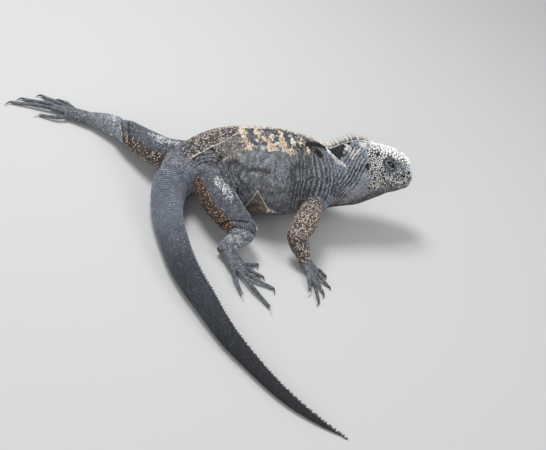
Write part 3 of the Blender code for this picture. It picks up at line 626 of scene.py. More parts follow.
def make_mesh(name, points, corners, counts):
    """A mesh from points, the corners of all its faces in one row, and each face's count."""
    mesh = bpy.data.meshes.new(name)
    mesh.vertices.add(len(points))
    mesh.vertices.foreach_set("co", (points * MM).astype(np.float32).ravel())
    mesh.loops.add(len(corners))
    mesh.loops.foreach_set("vertex_index", corners.astype(np.int32))
    mesh.polygons.add(len(counts))
    starts = np.concatenate([[0], np.cumsum(counts)[:-1]])
    mesh.polygons.foreach_set("loop_start", starts.astype(np.int32))
    mesh.update(calc_edges=True)
    mesh.validate()
    return mesh


def read(items, key, width, kind):
    """Values of a mesh's points, edges, corners or faces, as rows of the given width."""
    found = np.empty(len(items) * width, kind)
    items.foreach_get(key, found)
    return found.reshape(-1, width)


def read_points(mesh):
    return read(mesh.vertices, "co", 3, np.float32).astype(float) / MM


def read_normals(mesh):
    return read(mesh.vertex_normals, "vector", 3, np.float32).astype(float)


def read_edges(mesh):
    return read(mesh.edges, "vertices", 2, np.int32)


def read_corners(mesh):
    """The point of each corner, and where each face's corners start."""
    counts = read(mesh.polygons, "loop_total", 1, np.int32).ravel()
    corners = read(mesh.loops, "vertex_index", 1, np.int32).ravel()
    return corners, np.concatenate([[0], np.cumsum(counts)])


def write_points(mesh, points):
    mesh.vertices.foreach_set("co", (points * MM).astype(np.float32).ravel())
    mesh.update()


def new_object(name, data):
    """A mesh, light or camera as an object of the scene."""
    item = bpy.data.objects.new(name, data)
    bpy.context.scene.collection.objects.link(item)
    return item


def tint_points(mesh, colours):
    layer = mesh.attributes.new("tint", "FLOAT_COLOR", "POINT")
    rgba = np.ones((len(colours), 4), np.float32)
    rgba[:, :3] = np.clip(colours, 0, 1)
    layer.data.foreach_set("color", rgba.ravel())


def set_map(mesh, places):
    layer = mesh.uv_layers.new(name="OFBake")
    layer.uv.foreach_set("vector", places.astype(np.float32).ravel())


def stamped(name, places, faces, colours, maps, material):
    """One piece of many like solids. places has each solid's points, faces the corners that
    they share, and colours and maps one value for each point."""
    count, width = places.shape[:2]
    places[..., 2] = np.maximum(places[..., 2], FLOOR_CLEARANCE)
    pattern = np.concatenate([np.array(face) for face in faces])
    corners = (pattern[None, :] + np.arange(count)[:, None] * width).ravel()
    counts = np.tile([len(face) for face in faces], count)
    mesh = make_mesh(name, places.reshape(-1, 3), corners, counts)
    tint_points(mesh, colours.reshape(-1, 3))
    set_map(mesh, maps.reshape(-1, 2)[corners])
    mesh.shade_smooth()
    return dress(new_object(name, mesh), material)


def dress(piece, material):
    piece.data.materials.clear()
    piece.data.materials.append(material)
    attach(piece, "root")
    return piece


def ring_faces(rings, sides):
    """Four-cornered faces between rings of points that are numbered ring by ring."""
    faces = []
    for start in range(0, (rings - 1) * sides, sides):
        for j in range(sides):
            k = (j + 1) % sides
            faces.append((start + j, start + k, start + sides + k, start + sides + j))
    return faces


def tube_faces(rings, sides):
    """Faces of a closed skin over rings of points."""
    faces = ring_faces(rings, sides)
    faces.append(tuple(range(sides))[::-1])
    faces.append(tuple(range((rings - 1) * sides, rings * sides)))
    return faces


# The skin

def ring_turns(sides):
    """Angles of points spread evenly round a ring."""
    return np.arange(sides) * math.tau / sides


def grid_of(part, sides):
    """Rings of points along a form, just inside its outer shape."""
    count = max(4, round(part.size / SHELL_STEP))
    s = np.linspace(0, part.size, count + 1)
    s[-1] -= 0.02 * (part.size - part.end)
    turns = ring_turns(sides)
    return s, part.points(np.repeat(s, sides), np.tile(turns, len(s)), -SKIN_DEPTH)


def base_form():
    """All forms as overlapping closed shells, and one search tree for each."""
    points, corners, counts, trees = [], [], [], []
    total = 0
    for name, part in PARTS.items():
        sides = BODY_SIDES if name == "body" else LIMB_SIDES
        s, found = grid_of(part, sides)
        faces = tube_faces(len(s), sides)
        trees.append((s, sides, found, BVHTree.FromPolygons(found.tolist(), faces)))
        corners += [np.array(face) + total for face in faces]
        counts += [len(face) for face in faces]
        points.append(found)
        total += len(found)
    mesh = make_mesh("skin", np.concatenate(points), np.concatenate(corners), np.array(counts))
    return mesh, trees


def locate(points, trees):
    """For each point the form that it lies on, its place and angle there, and how far the
    nearest form of the body and the nearest limb are."""
    count = len(points)
    best = np.full(count, np.inf)
    owner = np.zeros(count, int)
    s_at, angle_at = np.zeros(count), np.zeros(count)
    away = np.full((2, count), 99.0)
    for number, (s, sides, grid, tree) in enumerate(trees):
        near = ((points > grid.min(0) - 8) & (points < grid.max(0) + 8)).all(1)
        chosen = np.flatnonzero(near)
        found = [tree.find_nearest(point) for point in points[chosen].tolist()]
        gap = np.array([hit[3] for hit in found])
        face = np.array([hit[2] for hit in found])
        kind = 0 if number == 0 else 1
        away[kind, chosen] = np.minimum(away[kind, chosen], gap)
        face = np.minimum(face, (len(s) - 1) * sides - 1)
        ring, turn = face // sides, face % sides
        corner = grid[ring * sides + turn]
        along = grid[(ring + 1) * sides + turn] - corner
        round_ = grid[ring * sides + (turn + 1) % sides] - corner
        step = points[chosen] - corner
        f = np.clip((step * along).sum(1) / (along ** 2).sum(1), 0, 1)
        g = np.clip((step * round_).sum(1) / (round_ ** 2).sum(1), 0, 1)
        closer = gap < best[chosen]
        mine = chosen[closer]
        best[mine] = gap[closer]
        owner[mine] = number
        s_at[mine] = (s[ring] + (s[np.minimum(ring + 1, len(s) - 1)] - s[ring]) * f)[closer]
        angle_at[mine] = ((turn + g) * math.tau / sides)[closer]
    return owner, s_at, wrapped(angle_at), away


def relax(points, edges, weight, rounds):
    """Move each point towards the middle of its neighbours by its weight, some rounds over."""
    degree = np.bincount(edges.ravel(), minlength=len(points))[:, None]
    for _ in range(rounds):
        total = np.stack([np.bincount(edges[:, 0], points[edges[:, 1], k], len(points))
                          + np.bincount(edges[:, 1], points[edges[:, 0], k], len(points))
                          for k in range(3)], 1)
        points = points + (total / degree - points) * weight[:, None]
    return points


def applied(item, kind, **settings):
    """The mesh of an object with one modifier applied."""
    change = item.modifiers.new(kind, kind)
    for key, value in settings.items():
        setattr(change, key, value)
    mesh = bpy.data.meshes.new_from_object(
        item.evaluated_get(bpy.context.evaluated_depsgraph_get()))
    item.modifiers.clear()
    return mesh


def refine(mesh, chosen):
    """Split the faces whose points are all chosen."""
    shape = bmesh.new()
    shape.from_mesh(mesh)
    faces = [face for face in shape.faces if all(chosen[v.index] for v in face.verts)]
    edges = list({edge for face in faces for edge in face.edges})
    bmesh.ops.subdivide_edges(shape, edges=edges, cuts=1, use_grid_fill=True)
    bmesh.ops.triangulate(shape, faces=[face for face in shape.faces if len(face.verts) > 4])
    shape.to_mesh(mesh)
    shape.free()


def ridges(phase):
    """Rounded ridges with sharp creases between them: 0 on a ridge and -1 in a crease."""
    return np.abs(np.sin(math.pi * phase)) ** 0.8 - 1


def thin_ridges(phase):
    """Narrow ridges with wider valleys between them: 0 on a ridge and -1 in a valley."""
    return -np.abs(np.sin(math.pi * phase)) ** 0.9


def cracks(points, size, seed):
    """A net of thin creases: 0 on the flat and -1 in a crease."""
    return -np.exp(-(noise(points, size, seed) / 0.09) ** 2)


def body_folds(s, degrees, points):
    """The wrinkles of neck, flank and belly."""
    wander = noise(points, 22, 3) * 2.6 + noise(points, 8, 4) * 0.8
    bow = 7 * hill(degrees, 72, 38)
    broken = 0.55 + 0.45 * soft_step(noise(points, 13, 7), -0.5, 0.3)
    height = 1.6 * broken * thin_ridges((s + bow + wander) / 4.9) * window(s, 108, 150, 14) * window(
        degrees, 36, 112, 14)
    slant = s - 0.49 * (degrees - 33) + noise(points, 17, 58) * 3.2
    loose = 0.25 + 0.75 * soft_step(noise(points, 11, 60), -0.45, 0.25)
    height += 2.3 * loose * ridges((slant + wander) / 5.2) * window(slant, 54, 86, 8) * window(
        degrees, 30, 150, 18) * (1 - soft_step(s, 94, 108))
    height += 0.55 * ridges((s + bow + wander * 1.6) / 3.6) * window(s, 100, 258, 14) * window(
        degrees, 30, 170, 20) * (0.3 + 0.7 * soft_step(noise(points, 24, 5), -0.3, 0.5))
    height += 0.7 * cracks(points, 13, 12) * window(s, 130, 262, 14) * window(degrees, 20, 165, 12)
    crease = degrees - np.interp(s, (176, 190, 202, 210, 224), (68, 65, 66, 62, 60)) + wander * 0.5
    height -= 1.3 * hill(crease * MM_PER_DEGREE, 0, 1.6) * window(s, 182, 218, 8)
    return height


def thigh_rim(share, turn):
    """1 on the thin fold along the front edge of a thigh, and 0 away from it."""
    middle = np.interp(share, (0.15, 0.32, 0.6, 0.95), RIM_TURNS)
    return hill(turn, middle, 5) * soft_step(share, 0.14, 0.26)


def past_knee(share, turn):
    """How far a place on a thigh lies past its knee's crease, as a share of its length."""
    return share - np.interp(turn, *zip(*KNEE_CREASE))


def knee_crease(share, turn):
    """1 in the crease between a thigh and its shank, and 0 away from it."""
    return hill(past_knee(share, turn), 0, 0.014) * window(turn, 3, 97, 10)


def hip_folds(s, points):
    """Creases that curve round the hip joints."""
    height = np.zeros(len(s))
    for name in ("right_thigh", "left_thigh"):
        hip = PARTS[name].rows[0, :3] * 0.6 + PARTS[name].rows[1, :3] * 0.4
        gap = np.linalg.norm(points - hip, axis=1) + noise(points, 12, 6) * 3
        height += 1.1 * ridges(gap / 5.2) * window(gap, 27, 40, 8) * window(s, 195, 275, 12)
    return height


def mouth_curve():
    """The mouth's line, as distance from the tip and degrees from the crest."""
    return Curve([(back, turn, 0.0, 0.0) for back, turn in MOUTH_LINE])


def mouth_points(side):
    """Points along one side of the mouth's line, from the nose to the corner."""
    curve = mouth_curve()
    found = curve.read(np.linspace(0, curve.end, 60))
    return body.points(found[:, 0], np.radians(found[:, 1]) * side, -0.3)


def line_gap(points, line):
    """How far each point is from the nearest point of a line."""
    return np.min(np.linalg.norm(points[:, None] - line[None], axis=2), axis=1)


def nostril_gap(points, side, grow=0.0):
    here = one(body, NOSTRIL[0], side * math.radians(NOSTRIL[1]), grow)
    return np.linalg.norm(points - here, axis=1)


def ear_gap(points, side, rim=0.0):
    """Distance from an ear's middle, 1 at its edge, and how far out or in a point lies."""
    here, out, ahead, around = surface_frame(body, EAR[0], side * math.radians(EAR[1]))
    step = points - here
    gap = np.hypot(step @ ahead / (EAR_SIZE[0] + rim), step @ around / (EAR_SIZE[1] + rim))
    return gap, np.abs(step @ out)


def eye_steps(points, side):
    """How far points lie from an eye's middle: along its slit, across it and outwards."""
    centre, out, along, rise = eye_place(side)
    step = points - centre
    return step @ along, step @ rise, step @ out


def head_marks(points):
    """The line of the mouth, nostrils, ears and eye sockets, as heights."""
    height = np.zeros(len(points))
    for side in (-1, 1):
        gap = line_gap(points, mouth_points(side))
        height += -1.5 * hill(gap, 0, 0.6) + 0.5 * hill(gap, 2.4, 1.2)
        gap = nostril_gap(points, side, 0.3)
        height += -2.6 * hill(gap, 0, 1.5) + 0.8 * hill(gap, 2.5, 0.9)
        gap, off = ear_gap(points, side, 0.4)
        height += (off < 6) * (-1.6 * (1 - soft_step(gap, 0.75, 1.1)) + 0.5 * hill(gap, 1.25, 0.22))
        along, across, outwards = eye_steps(points, side)
        gap = np.hypot(along, across * 1.12)
        height -= 6 * (outwards > -2) * (1 - soft_step(gap, 5.0, 7.6))
    return height


# The skin's object, and for each of its points the form it belongs to, its place and angle
# there, and how far it stands out.
Skin = namedtuple("Skin", "item owner s angle relief")


def make_skin():
    """One skin over every form, with its folds, creases and the hollows of the head."""
    mesh, trees = base_form()
    item = new_object("skin", mesh)
    mesh = applied(item, "REMESH", mode="VOXEL", voxel_size=VOXEL * MM, adaptivity=0)
    points = read_points(mesh)
    owner, s, angle, away = locate(points, trees)
    joint = soft_step(7 - away.max(0), 0, 6)
    small = np.array([is_paw(name) for name in NAMES])[owner]
    edges = read_edges(mesh)
    points = relax(points, edges, joint * 0.5, 16)
    points = relax(points, edges, np.where(small, 0.25, 0.5), 4)
    write_points(mesh, points)
    refine(mesh, (owner == 0) & (s < FOLDS_END) & (points[:, 2] > 1))
    points = read_points(mesh)
    front = points[:, 0] > one(body, FOLDS_END + 4, 0)[0]
    points = relax(points, read_edges(mesh), np.where(front, 0.5, 0.0), 3)
    write_points(mesh, points)
    owner, s, angle, away = locate(points, trees)
    normals = read_normals(mesh)
    on_body = owner == 0
    degrees = np.abs(np.degrees(angle))
    lift = np.where(on_body, body_folds(s, degrees, points) + hip_folds(s, points), 0)
    lift += np.where(on_body, 0, limb_folds(owner, s, angle, points))
    cavity = ((relax(points, read_edges(mesh), np.full(len(points), 0.5), 8) - points) * normals).sum(1)
    crease = soft_step(cavity, 0.12, 0.5)
    lift -= 0.5 * crease
    # relief, which the colours read for painted shade and light, is lowered further in creases.
    relief = lift - 0.3 * crease
    lift += noise(points, 5, 8) * 0.12
    top = on_body & (s < HEAD_END + 6)
    lift[top] += head_marks(points[top])
    points = points + normals * lift[:, None]
    points[:, 2] = np.maximum(points[:, 2], 0.15)
    write_points(mesh, points)
    old = item.data
    item.data = mesh
    bpy.data.meshes.remove(old)
    mesh.shade_smooth()
    return Skin(item, owner, s, angle, relief)


def limb_folds(owner, s, angle, points):
    """Small wrinkles round the limbs, deepest near their ends, and the thighs' front folds and
    knee creases."""
    sizes = np.array([part.end for part in PARTS.values()])[owner]
    thick = np.array([part.rows[0, 3] for part in PARTS.values()])[owner] > 6
    share = s / sizes
    bend = 0.35 + 0.65 * np.maximum(hill(share, 0.02, 0.16), hill(share, 1.0, 0.14))
    wave = ridges((s + noise(points, 7, 9) * 1.6) / 3.1)
    height = np.where(thick, wave * 0.5 * bend, 0)
    for name, side in (("right_thigh", 1), ("left_thigh", -1)):
        mine = owner == NAMES.index(name)
        turn = np.degrees(angle[mine]) * side
        rim = 0.9 if side > 0 else 0.4
        height[mine] += rim * thigh_rim(share[mine], turn) - 1.8 * knee_crease(share[mine], turn)
        height[mine] += 0.9 * soft_step(past_knee(share[mine], turn), 0, 0.05) * window(turn, 3, 97, 20)
    return height


def paint_skin(skin, material):
    """Colours, map and material of the skin, which is drawn dark between its scales as painted shade.
    """
    mesh = skin.item.data
    points = read_points(mesh)
    look = markings(skin.owner, skin.s, skin.angle, points, read_normals(mesh), skin.relief)
    on_head = (skin.owner == 0) & (skin.s < HEAD_END - 10)
    # Painted shade: the skin between the scales is darkened, to near black on the head.
    shade = np.where(on_head, HEAD_GAP_SHADE, GAP_SHADE)
    tint_points(mesh, mix(look.ground, look.fleck, look.share * 0.5) * shade[:, None])
    map_skin(skin, points)
    dress(skin.item, material)
    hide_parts(*FLESH)


def map_skin(skin, points):
    """Each corner's place on the unwrap, read from its face's first corner."""
    mesh, owner, s, angle = skin.item.data, skin.owner, skin.s, skin.angle
    corners, starts = read_corners(mesh)
    first = np.repeat(corners[starts[:-1]], np.diff(starts))
    base = map_places(owner, s, angle)[first]
    set_map(mesh, base + map_steps(owner, s, angle, first, points[corners] - points[first]))


def map_places(owner, s, angle):
    found = np.zeros((len(s), 2))
    for number in np.unique(owner):
        mine = owner == number
        found[mine] = chart_place(number, s[mine], angle[mine])
    return found


def map_steps(owner, s, angle, rows, steps):
    """A small step on the surface, as a step on the unwrap."""
    found = np.zeros((len(rows), 2))
    for number in np.unique(owner):
        part = PARTS[NAMES[number]]
        mine = owner[rows] == number
        s_here, angle_here = s[rows][mine], angle[rows][mine]
        ahead = part.frames(s_here)[1] * (-1 if number == 0 else 1)
        around = part.points(s_here, angle_here + 0.02) - part.points(s_here, angle_here - 0.02)
        span = np.linalg.norm(around, axis=1)
        turn = (steps[mine] * around).sum(1) / np.maximum(span, 0.01) ** 2 * 0.04
        along = (steps[mine] * ahead).sum(1)
        wide, tall = part.chart[2:]
        found[mine] = np.stack([wide * along / part.size, tall * turn / math.tau], 1)
    return found


# Lids, eyes, claws and crest

def eye_slit(turn):
    """The edge of the opening between the lids, along and across it."""
    along = SLIT[0] * np.cos(turn)
    across = SLIT[1] * np.sin(turn) * np.abs(np.sin(turn)) ** 0.35
    return along, across


def lid_points(side, turn, share, tree, sunk=LID_EDGE_SUNK):
    """Points of the lids: share 0 is the edge of the opening and 1 is out on the skin, where
    the lids end this far under it."""
    centre, out, along, rise = eye_place(side)
    a0, b0 = eye_slit(turn)
    share_out = np.clip(share, 0, 1)
    a = a0 + (LIDS[0] * np.cos(turn) - a0) * share_out
    b = b0 + (LIDS[1] * np.sin(turn) - b0) * share_out
    rim = hill(share, 0.05, 0.06) * 0.3
    upper = soft_step(np.sin(turn), -0.2, 0.7)
    fold = (0.5 + 0.35 * upper) * (ridges(share * 4.6 + 0.5) + 0.45) * window(share, 0.14, 0.7, 0.1)
    brow = upper * 0.7 * hill(share, 0.35, 0.2)
    ball = np.sqrt(np.clip(LID_BALL ** 2 - (a * 0.7) ** 2 - (b * 0.8) ** 2, 0, None))
    ball = ball + fold + rim + brow
    flat = centre + along * a[:, None] + rise * b[:, None]
    ground = np.array([ground_height(tree, point, out) for point in flat])
    far = soft_step(share, 0.12, 0.95)
    depth = ball * (1 - far) + (ground - sunk) * far
    depth = np.where(share < 0, ball - 1.6 * -share / 0.15, depth)
    return flat + out * depth[:, None]


def ground_height(tree, point, out):
    start = point + out * 16
    hit = tree.ray_cast(start.tolist(), (-out).tolist(), 24)
    return 16 - hit[3] if hit[0] is not None else 3.0


def make_lid(side, tree):
    """The two lids of one eye, as one ring of skin round the opening."""
    share = np.concatenate([[-0.15, -0.07], np.linspace(0, 1, LID_RINGS - 2)])
    turn = ring_turns(LID_TURNS)
    found = lid_points(side, np.tile(turn, LID_RINGS), np.repeat(share, LID_TURNS), tree)
    inner = found - eye_place(side)[1] * LID_THICKNESS
    faces = ring_faces(LID_RINGS, LID_TURNS)
    count = len(found)
    faces += [tuple(corner + count for corner in face[::-1]) for face in faces]
    last = count - LID_TURNS
    for j in range(LID_TURNS):
        k = (j + 1) % LID_TURNS
        faces.append((k, j, j + count, k + count))
        faces.append((last + j, last + k, last + k + count, last + j + count))
    if side < 0:
        faces = [face[::-1] for face in faces]
    return np.concatenate([found, inner]), faces


def simple_mesh(name, points, faces):
    corners = np.concatenate([np.array(face) for face in faces])
    mesh = make_mesh(name, points, corners, np.array([len(face) for face in faces]))
    mesh.shade_smooth()
    return mesh


def paint_points(mesh, colours, places):
    """Tint and map of a mesh that has one value of each for every point."""
    tint_points(mesh, colours)
    set_map(mesh, places[read_corners(mesh)[0]])


def make_eye(side, material):
    """An eyeball with a dark pupil, a brown iris and a black surround."""
    centre, out, along, rise = eye_place(side)
    rings, turns = 40, 64
    tilt = (np.arange(rings) + 0.5) / rings * math.pi
    turn = ring_turns(turns)
    tilt, turn = np.repeat(tilt, turns), np.tile(turn, rings)
    points = centre + EYE_RADIUS * (np.outer(np.cos(tilt), out)
                                    + np.outer(np.sin(tilt) * np.cos(turn), along)
                                    + np.outer(np.sin(tilt) * np.sin(turn), rise))
    name = "eyeball_" + side_name(side)
    faces = tube_faces(rings, turns)
    if side > 0:
        faces = [face[::-1] for face in faces]
    mesh = simple_mesh(name, points, faces)
    degrees = np.degrees(tilt)
    streak = 0.7 + 0.3 * np.sin(turn * 23) * np.sin(turn * 9)
    iris = window(degrees, 17, 36, 2) * streak
    colours = mix(EYE_BLACK, IRIS_BROWN, np.clip(iris, 0, 1))
    centre_map = np.stack([0.5 + 0.45 * tilt / math.pi * np.cos(turn),
                           0.5 + 0.45 * tilt / math.pi * np.sin(turn)], 1)
    paint_points(mesh, colours, centre_map)
    piece = dress(new_object(name, mesh), material)
    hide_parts("eye_" + side_name(side))


def make_eyes(tree, lid_material, eye_material):
    """The lids and the eyeball of each side. The lids are returned."""
    lids = []
    for side in (-1, 1):
        points, faces = make_lid(side, tree)
        name = "lids_" + side_name(side)
        mesh = simple_mesh(name, points, faces)
        count = len(points)
        s = np.full(count, float(EYE[0]))
        angle = np.full(count, side * math.radians(EYE[1]))
        owner, relief = np.zeros(count, int), np.zeros(count)
        look = markings(owner, s, angle, points, points, relief)
        spread = (points - eye_place(side)[0])[:, [0, 2]]
        paint_points(mesh, look.ground * 0.6, chart_place(0, s, angle) + 0.004 * spread / 10)
        lids.append(dress(new_object(name, mesh), lid_material))
        make_eye(side, eye_material)
    return lids


def make_claw(name, number, point, material):
    """A curved claw with a flat underside, from just inside its digit's end."""
    rows = PARTS[f"{name}_digit_{number}"].rows
    end, before = rows[2, :3], rows[1, :3]
    way = unit(end - before)
    start = end + way * 0.2
    tip = np.array([point[0] + SHIFT[0], point[1] + SHIFT[1], CLAW_POINT_HEIGHT])
    shares = np.linspace(0, 1, 14)
    sides = 14
    rings = []
    for share in shares:
        middle = (start * (1 - share) ** 2 + (start + way * 4) * 2 * share * (1 - share)
                  + tip * share ** 2)
        middle[2] += CLAW_HUMP * 4 * share * (1 - share)
        ahead = unit(way * (1 - share) + unit(tip - start) * share)
        side = unit(np.cross(ahead, UP))
        up = np.cross(side, ahead)
        size = CLAW_RADIUS * (1 - share) ** 0.72 + 0.1
        turns = ring_turns(sides)
        rise = np.sin(turns)
        rise = np.where(rise < 0, rise * 0.65, rise)
        rings.append(middle + np.outer(np.cos(turns) * size * 0.72, side)
                     + np.outer(rise * size * 1.05, up))
    points = np.concatenate(rings)
    points[:, 2] = np.maximum(points[:, 2], 0.1)
    title = f"{name}_nail_{number}"
    mesh = simple_mesh(title, points, [face[::-1] for face in tube_faces(len(shares), sides)])
    pale = number in PALE_CLAWS[name]
    share = np.repeat(shares, sides)
    streak = 0.86 + 0.14 * np.sin(np.tile(np.arange(sides), len(shares)) * 2.4)
    root, point_colour = (CLAW_PALE_ROOT, CLAW_PALE) if pale else (CLAW_ROOT, CLAW_DARK)
    colours = mix(root, point_colour, soft_step(share, 0.05, 0.45)) * streak[:, None]
    places = np.stack([np.tile(np.arange(sides) / sides, len(shares)), share], 1)
    paint_points(mesh, colours, places)
    piece = dress(new_object(title, mesh), material)
    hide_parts(f"{name}_claw_{number}")


def make_crest(name, slot, start, stop, step, heights, length, thick, base, top, material):
    """A row of flat curved spines along the top of the body. heights are at the start, the
    middle and the end of the row."""
    count = round((stop - start) / step)
    s = np.linspace(start, stop, count) + RNG.uniform(-0.25, 0.25, count) * step
    share = (s - start) / (stop - start)
    height = np.interp(share, (0, 0.45, 1), heights) * RNG.uniform(0.85, 1.12, count)
    length = length * RNG.uniform(0.85, 1.1, count)
    forward, left, up = body.frames(s)[1:4]
    root = body.points(s, np.zeros(count), -SKIN_DEPTH)
    tip = RNG.normal(0, 0.1, count)[:, None] * height[:, None]
    rows, sides = 9, 8
    levels = np.linspace(0, 1, rows)
    turns = ring_turns(sides)
    rings = []
    for level in levels:
        rise = -SPINE_ROOT + (height + SPINE_ROOT) * level
        sweep = SPINE_SWEEP * height * level ** 1.8
        size = (1 - level) ** 0.6 * (1 + 0.35 * math.sin(math.pi * level)) + 0.03
        ring = root + up * rise[:, None] - forward * sweep[:, None] + left * tip * level ** 2
        long_half = (length / 2 * size)[:, None, None]
        thin_half = thick / 2 * (size * 0.6 + 0.4 * (1 - level))
        rings.append(ring[:, None] - forward[:, None] * (long_half * np.cos(turns)[:, None])
                     + left[:, None] * (thin_half * np.sin(turns)[:, None]))
    places = np.concatenate(rings, axis=1)
    levels = np.repeat(levels, sides)
    # Painted shade: each spine darkens towards its root.
    shade = soft_step(levels, 0.12, 0.6)
    tone = RNG.uniform(0.75, 1.1, (count, 1, 1))
    tints = (np.array(base) + (np.array(top) - base) * shade[:, None])[None] * tone
    maps = chart_place(0, s, np.zeros(count))[:, None] + np.stack(
        [np.tile(np.cos(turns), rows) * 0.0014, levels * 0.012], 1)[None]
    return stamped(name, places, [face[::-1] for face in tube_faces(rows, sides)], tints, maps,
                   material)


# Markings, with painted shade and light

def stroke_share(s, degrees, path, width, edge):
    """1 on a ragged line through places on the body, and 0 away from it."""
    here = np.stack([s, degrees * MM_PER_DEGREE], 1)
    path = np.array(path, float) * (1, MM_PER_DEGREE)
    gap = np.full(len(s), 99.0)
    for a, b in zip(path, path[1:]):
        run = b - a
        t = np.clip((here - a) @ run / (run @ run), 0, 1)
        gap = np.minimum(gap, np.linalg.norm(here - a - t[:, None] * run, axis=1))
    gap = gap + edge * (0.8 + 0.8 * width)
    return 1 - soft_step(gap, width * 0.75, width * 0.95 + 0.2)


def mottle(points, s, turn):
    """Uneven tone of living skin: fine blotches and faint streaks across the body."""
    streak = np.stack([s / 1.6, turn / 9, np.zeros(len(s))], 1)
    return np.exp(0.42 * noise(points, 3.6, 61) + 0.28 * noise(points, 1.9, 62)
                  + 0.26 * noise(streak, 1.0, 63))


class Look:
    """Colours at places: the ground colour, the colour and share of odd scales, and the share
    of black ones."""

    def __init__(self, count, ground, fleck=FLECK, share=0.1):
        self.ground = np.tile(np.array(ground, float), (count, 1))
        self.fleck = np.tile(np.array(fleck, float), (count, 1))
        self.share = np.full(count, float(share))
        self.dark = np.zeros(count)

    def lay(self, inside, ground=None, fleck=None, share=None, dark=None):
        if ground is not None:
            self.ground = mix(self.ground, ground, inside)
        if fleck is not None:
            self.fleck = mix(self.fleck, fleck, inside)
        if share is not None:
            self.share = self.share + (share - self.share) * inside
        if dark is not None:
            self.dark = self.dark + (dark - self.dark) * inside


def body_look(s, degrees, points, relief):
    """Markings of head, trunk and tail, with painted shade in the creases and painted light on the
    ridges of its skin. degrees are negative on the animal's right.
    """
    wide = np.abs(degrees)
    edge = rough_noise(points, 5, 21)
    blotch = rough_noise(points, 15, 22)
    look = Look(len(s), SLATE, FLECK, 0.04)
    look.lay(0.5 * soft_step(blotch, 0.0, 0.7), SLATE_DARK)
    look.lay(0.5 * soft_step(wide, 100, 150), SLATE_DARK)
    look.lay(window(s, 128, 216, 8) * (1 - soft_step(wide, 30, 42)) * 0.85, SLATE_DARK, SHED, 0.10)
    look.lay(window(s, 212, 244, 5) * window(degrees, -54, -26, 5), SHED_GREY, RIDGE, 0.12)
    look.lay(window(s, 214, 276, 6) * (degrees > -26) * (1 - soft_step(wide, 40, 55)),
             SLATE_DARK, SHED_PEACH, 0.24)
    look.lay(soft_step(s, 262, 305), *TAIL_BASE, 0.03)
    look.lay(soft_step(s + blotch * 12, 350, 440), *TAIL_MIDDLE, 0.06)
    look.lay(soft_step(s + blotch * 12, 440, 570), *TAIL_TIP, 0.12)
    look.lay(window(s, 66, 108, 12), *NECK, 0.12)
    look.lay(window(s, 30, 104, 14) * soft_step(wide, 96, 124), *THROAT, 0.16)
    under = window(s, 24, 106, 14) * soft_step(wide + blotch * 12, 104, 146)
    look.lay(under * 0.85, *UNDER_THROAT, 0.08)
    rosy = window(s, 30, 98, 12) * window(wide, 96, 136, 10) * soft_step(edge, 0.05, 0.3)
    look.lay(rosy * 0.75, THROAT_ROSE)
    tone = mottle(points, s, degrees) ** (1 - 0.6 * soft_step(s, 290, 330))
    look.ground *= tone[:, None]
    # Painted highlights along the crests of the folds of flank and neck.
    raised = window(s, 108, 150, 10) * window(wide, 40, 108, 12) * soft_step(relief, -0.9, -0.2)
    look.lay(raised * 0.6, FLANK_FOLD_HIGHLIGHT)
    raised = window(s, 62, 104, 8) * window(wide, 34, 120, 14) * soft_step(relief, -0.5, 0)
    look.lay(raised * 0.35, NECK_FOLD_HIGHLIGHT)
    across = np.where(degrees < 0, -degrees, degrees * 1.12 + 2)
    along = np.where(degrees < 0, s, s + 5 + noise(points, 30, 28) * 6)
    torn = 1 - soft_step(rough_noise(points, 7.5, 23), -0.02, 0.08)
    for path, width, colour, share in STROKES:
        inside = stroke_share(along, across, path, width, edge) * share
        if colour in (SHED, SHED_PEACH):
            inside = inside * torn
        look.lay(inside, colour, colour, 0)
    head_look(look, s, wide, points, edge)
    # Painted shade in the skin's creases and painted light on its ridges.
    look.ground *= np.clip(1.22 + 0.7 * relief, 0.38, 1.3)[:, None]
    return look


def head_look(look, s, wide, points, edge):
    """Markings of the head, on the body's colours, with painted shade in its nostrils, ears and mouth
    line and round its eyes, and a painted highlight on each lower lid's edge.
    """
    on_head = 1 - soft_step(s + edge * 4, 56, 68)
    dark = soft_step(rough_noise(points, 3.0, 24), 0.05, 0.45)
    face = on_head * soft_step(wide + edge * 6, 40, 56) * (1 - soft_step(wide + edge * 9, 96, 116))
    look.lay(face, FACE, FACE_PALE, 0.30, 0.07)
    cheek = on_head * window(wide + edge * 10, 56, 92, 8) * window(s + edge * 8, 44, 60, 5)
    look.lay(cheek, *CHEEK, 0.45, 0.14)
    jaw = on_head * window(wide + edge * 12, 86, 104, 8) * window(s + edge * 8, 30, 54, 7)
    look.lay(jaw * 0.9, *JAW, 0.42, 0.14)
    look.lay(face * dark * 0.75, FACE_DARK)
    crown = on_head * (1 - soft_step(wide + edge * 8, 40, 54)) * soft_step(s, 1, 6)
    look.lay(crown, CROWN, CROWN_FLECK, 0.05)
    temple = on_head * window(wide, 34, 66, 8) * soft_step(s, 40, 47)
    look.lay(temple, *TEMPLE, 0.2, 0.1)
    snout = (1 - soft_step(s + edge * 3, 10, 17)) * (1 - soft_step(wide, 104, 125)) * (1 - crown)
    look.lay(snout, *SNOUT, 0.4, 0.12)
    large = body_pitch(s, wide)[0] > LARGE_SCALE
    look.share = np.where(large & (on_head > 0.5), 0, look.share)
    look.dark = np.where(large, look.dark * temple, look.dark)
    for side in (-1, 1):
        mouth_look(look, s, wide, points, side)
        # Painted shade: black in the nostril and in the ear's hollow.
        look.lay(hill(nostril_gap(points, side), 0, 1.9), BLACK, share=0)
        gap, off = ear_gap(points, side)
        gap = np.where(off < 7, gap, 9)
        look.lay((1 - soft_step(gap, 0.8, 1.3)) * 0.95, BLACK, share=0)
        eye_look(look, points, edge, side)


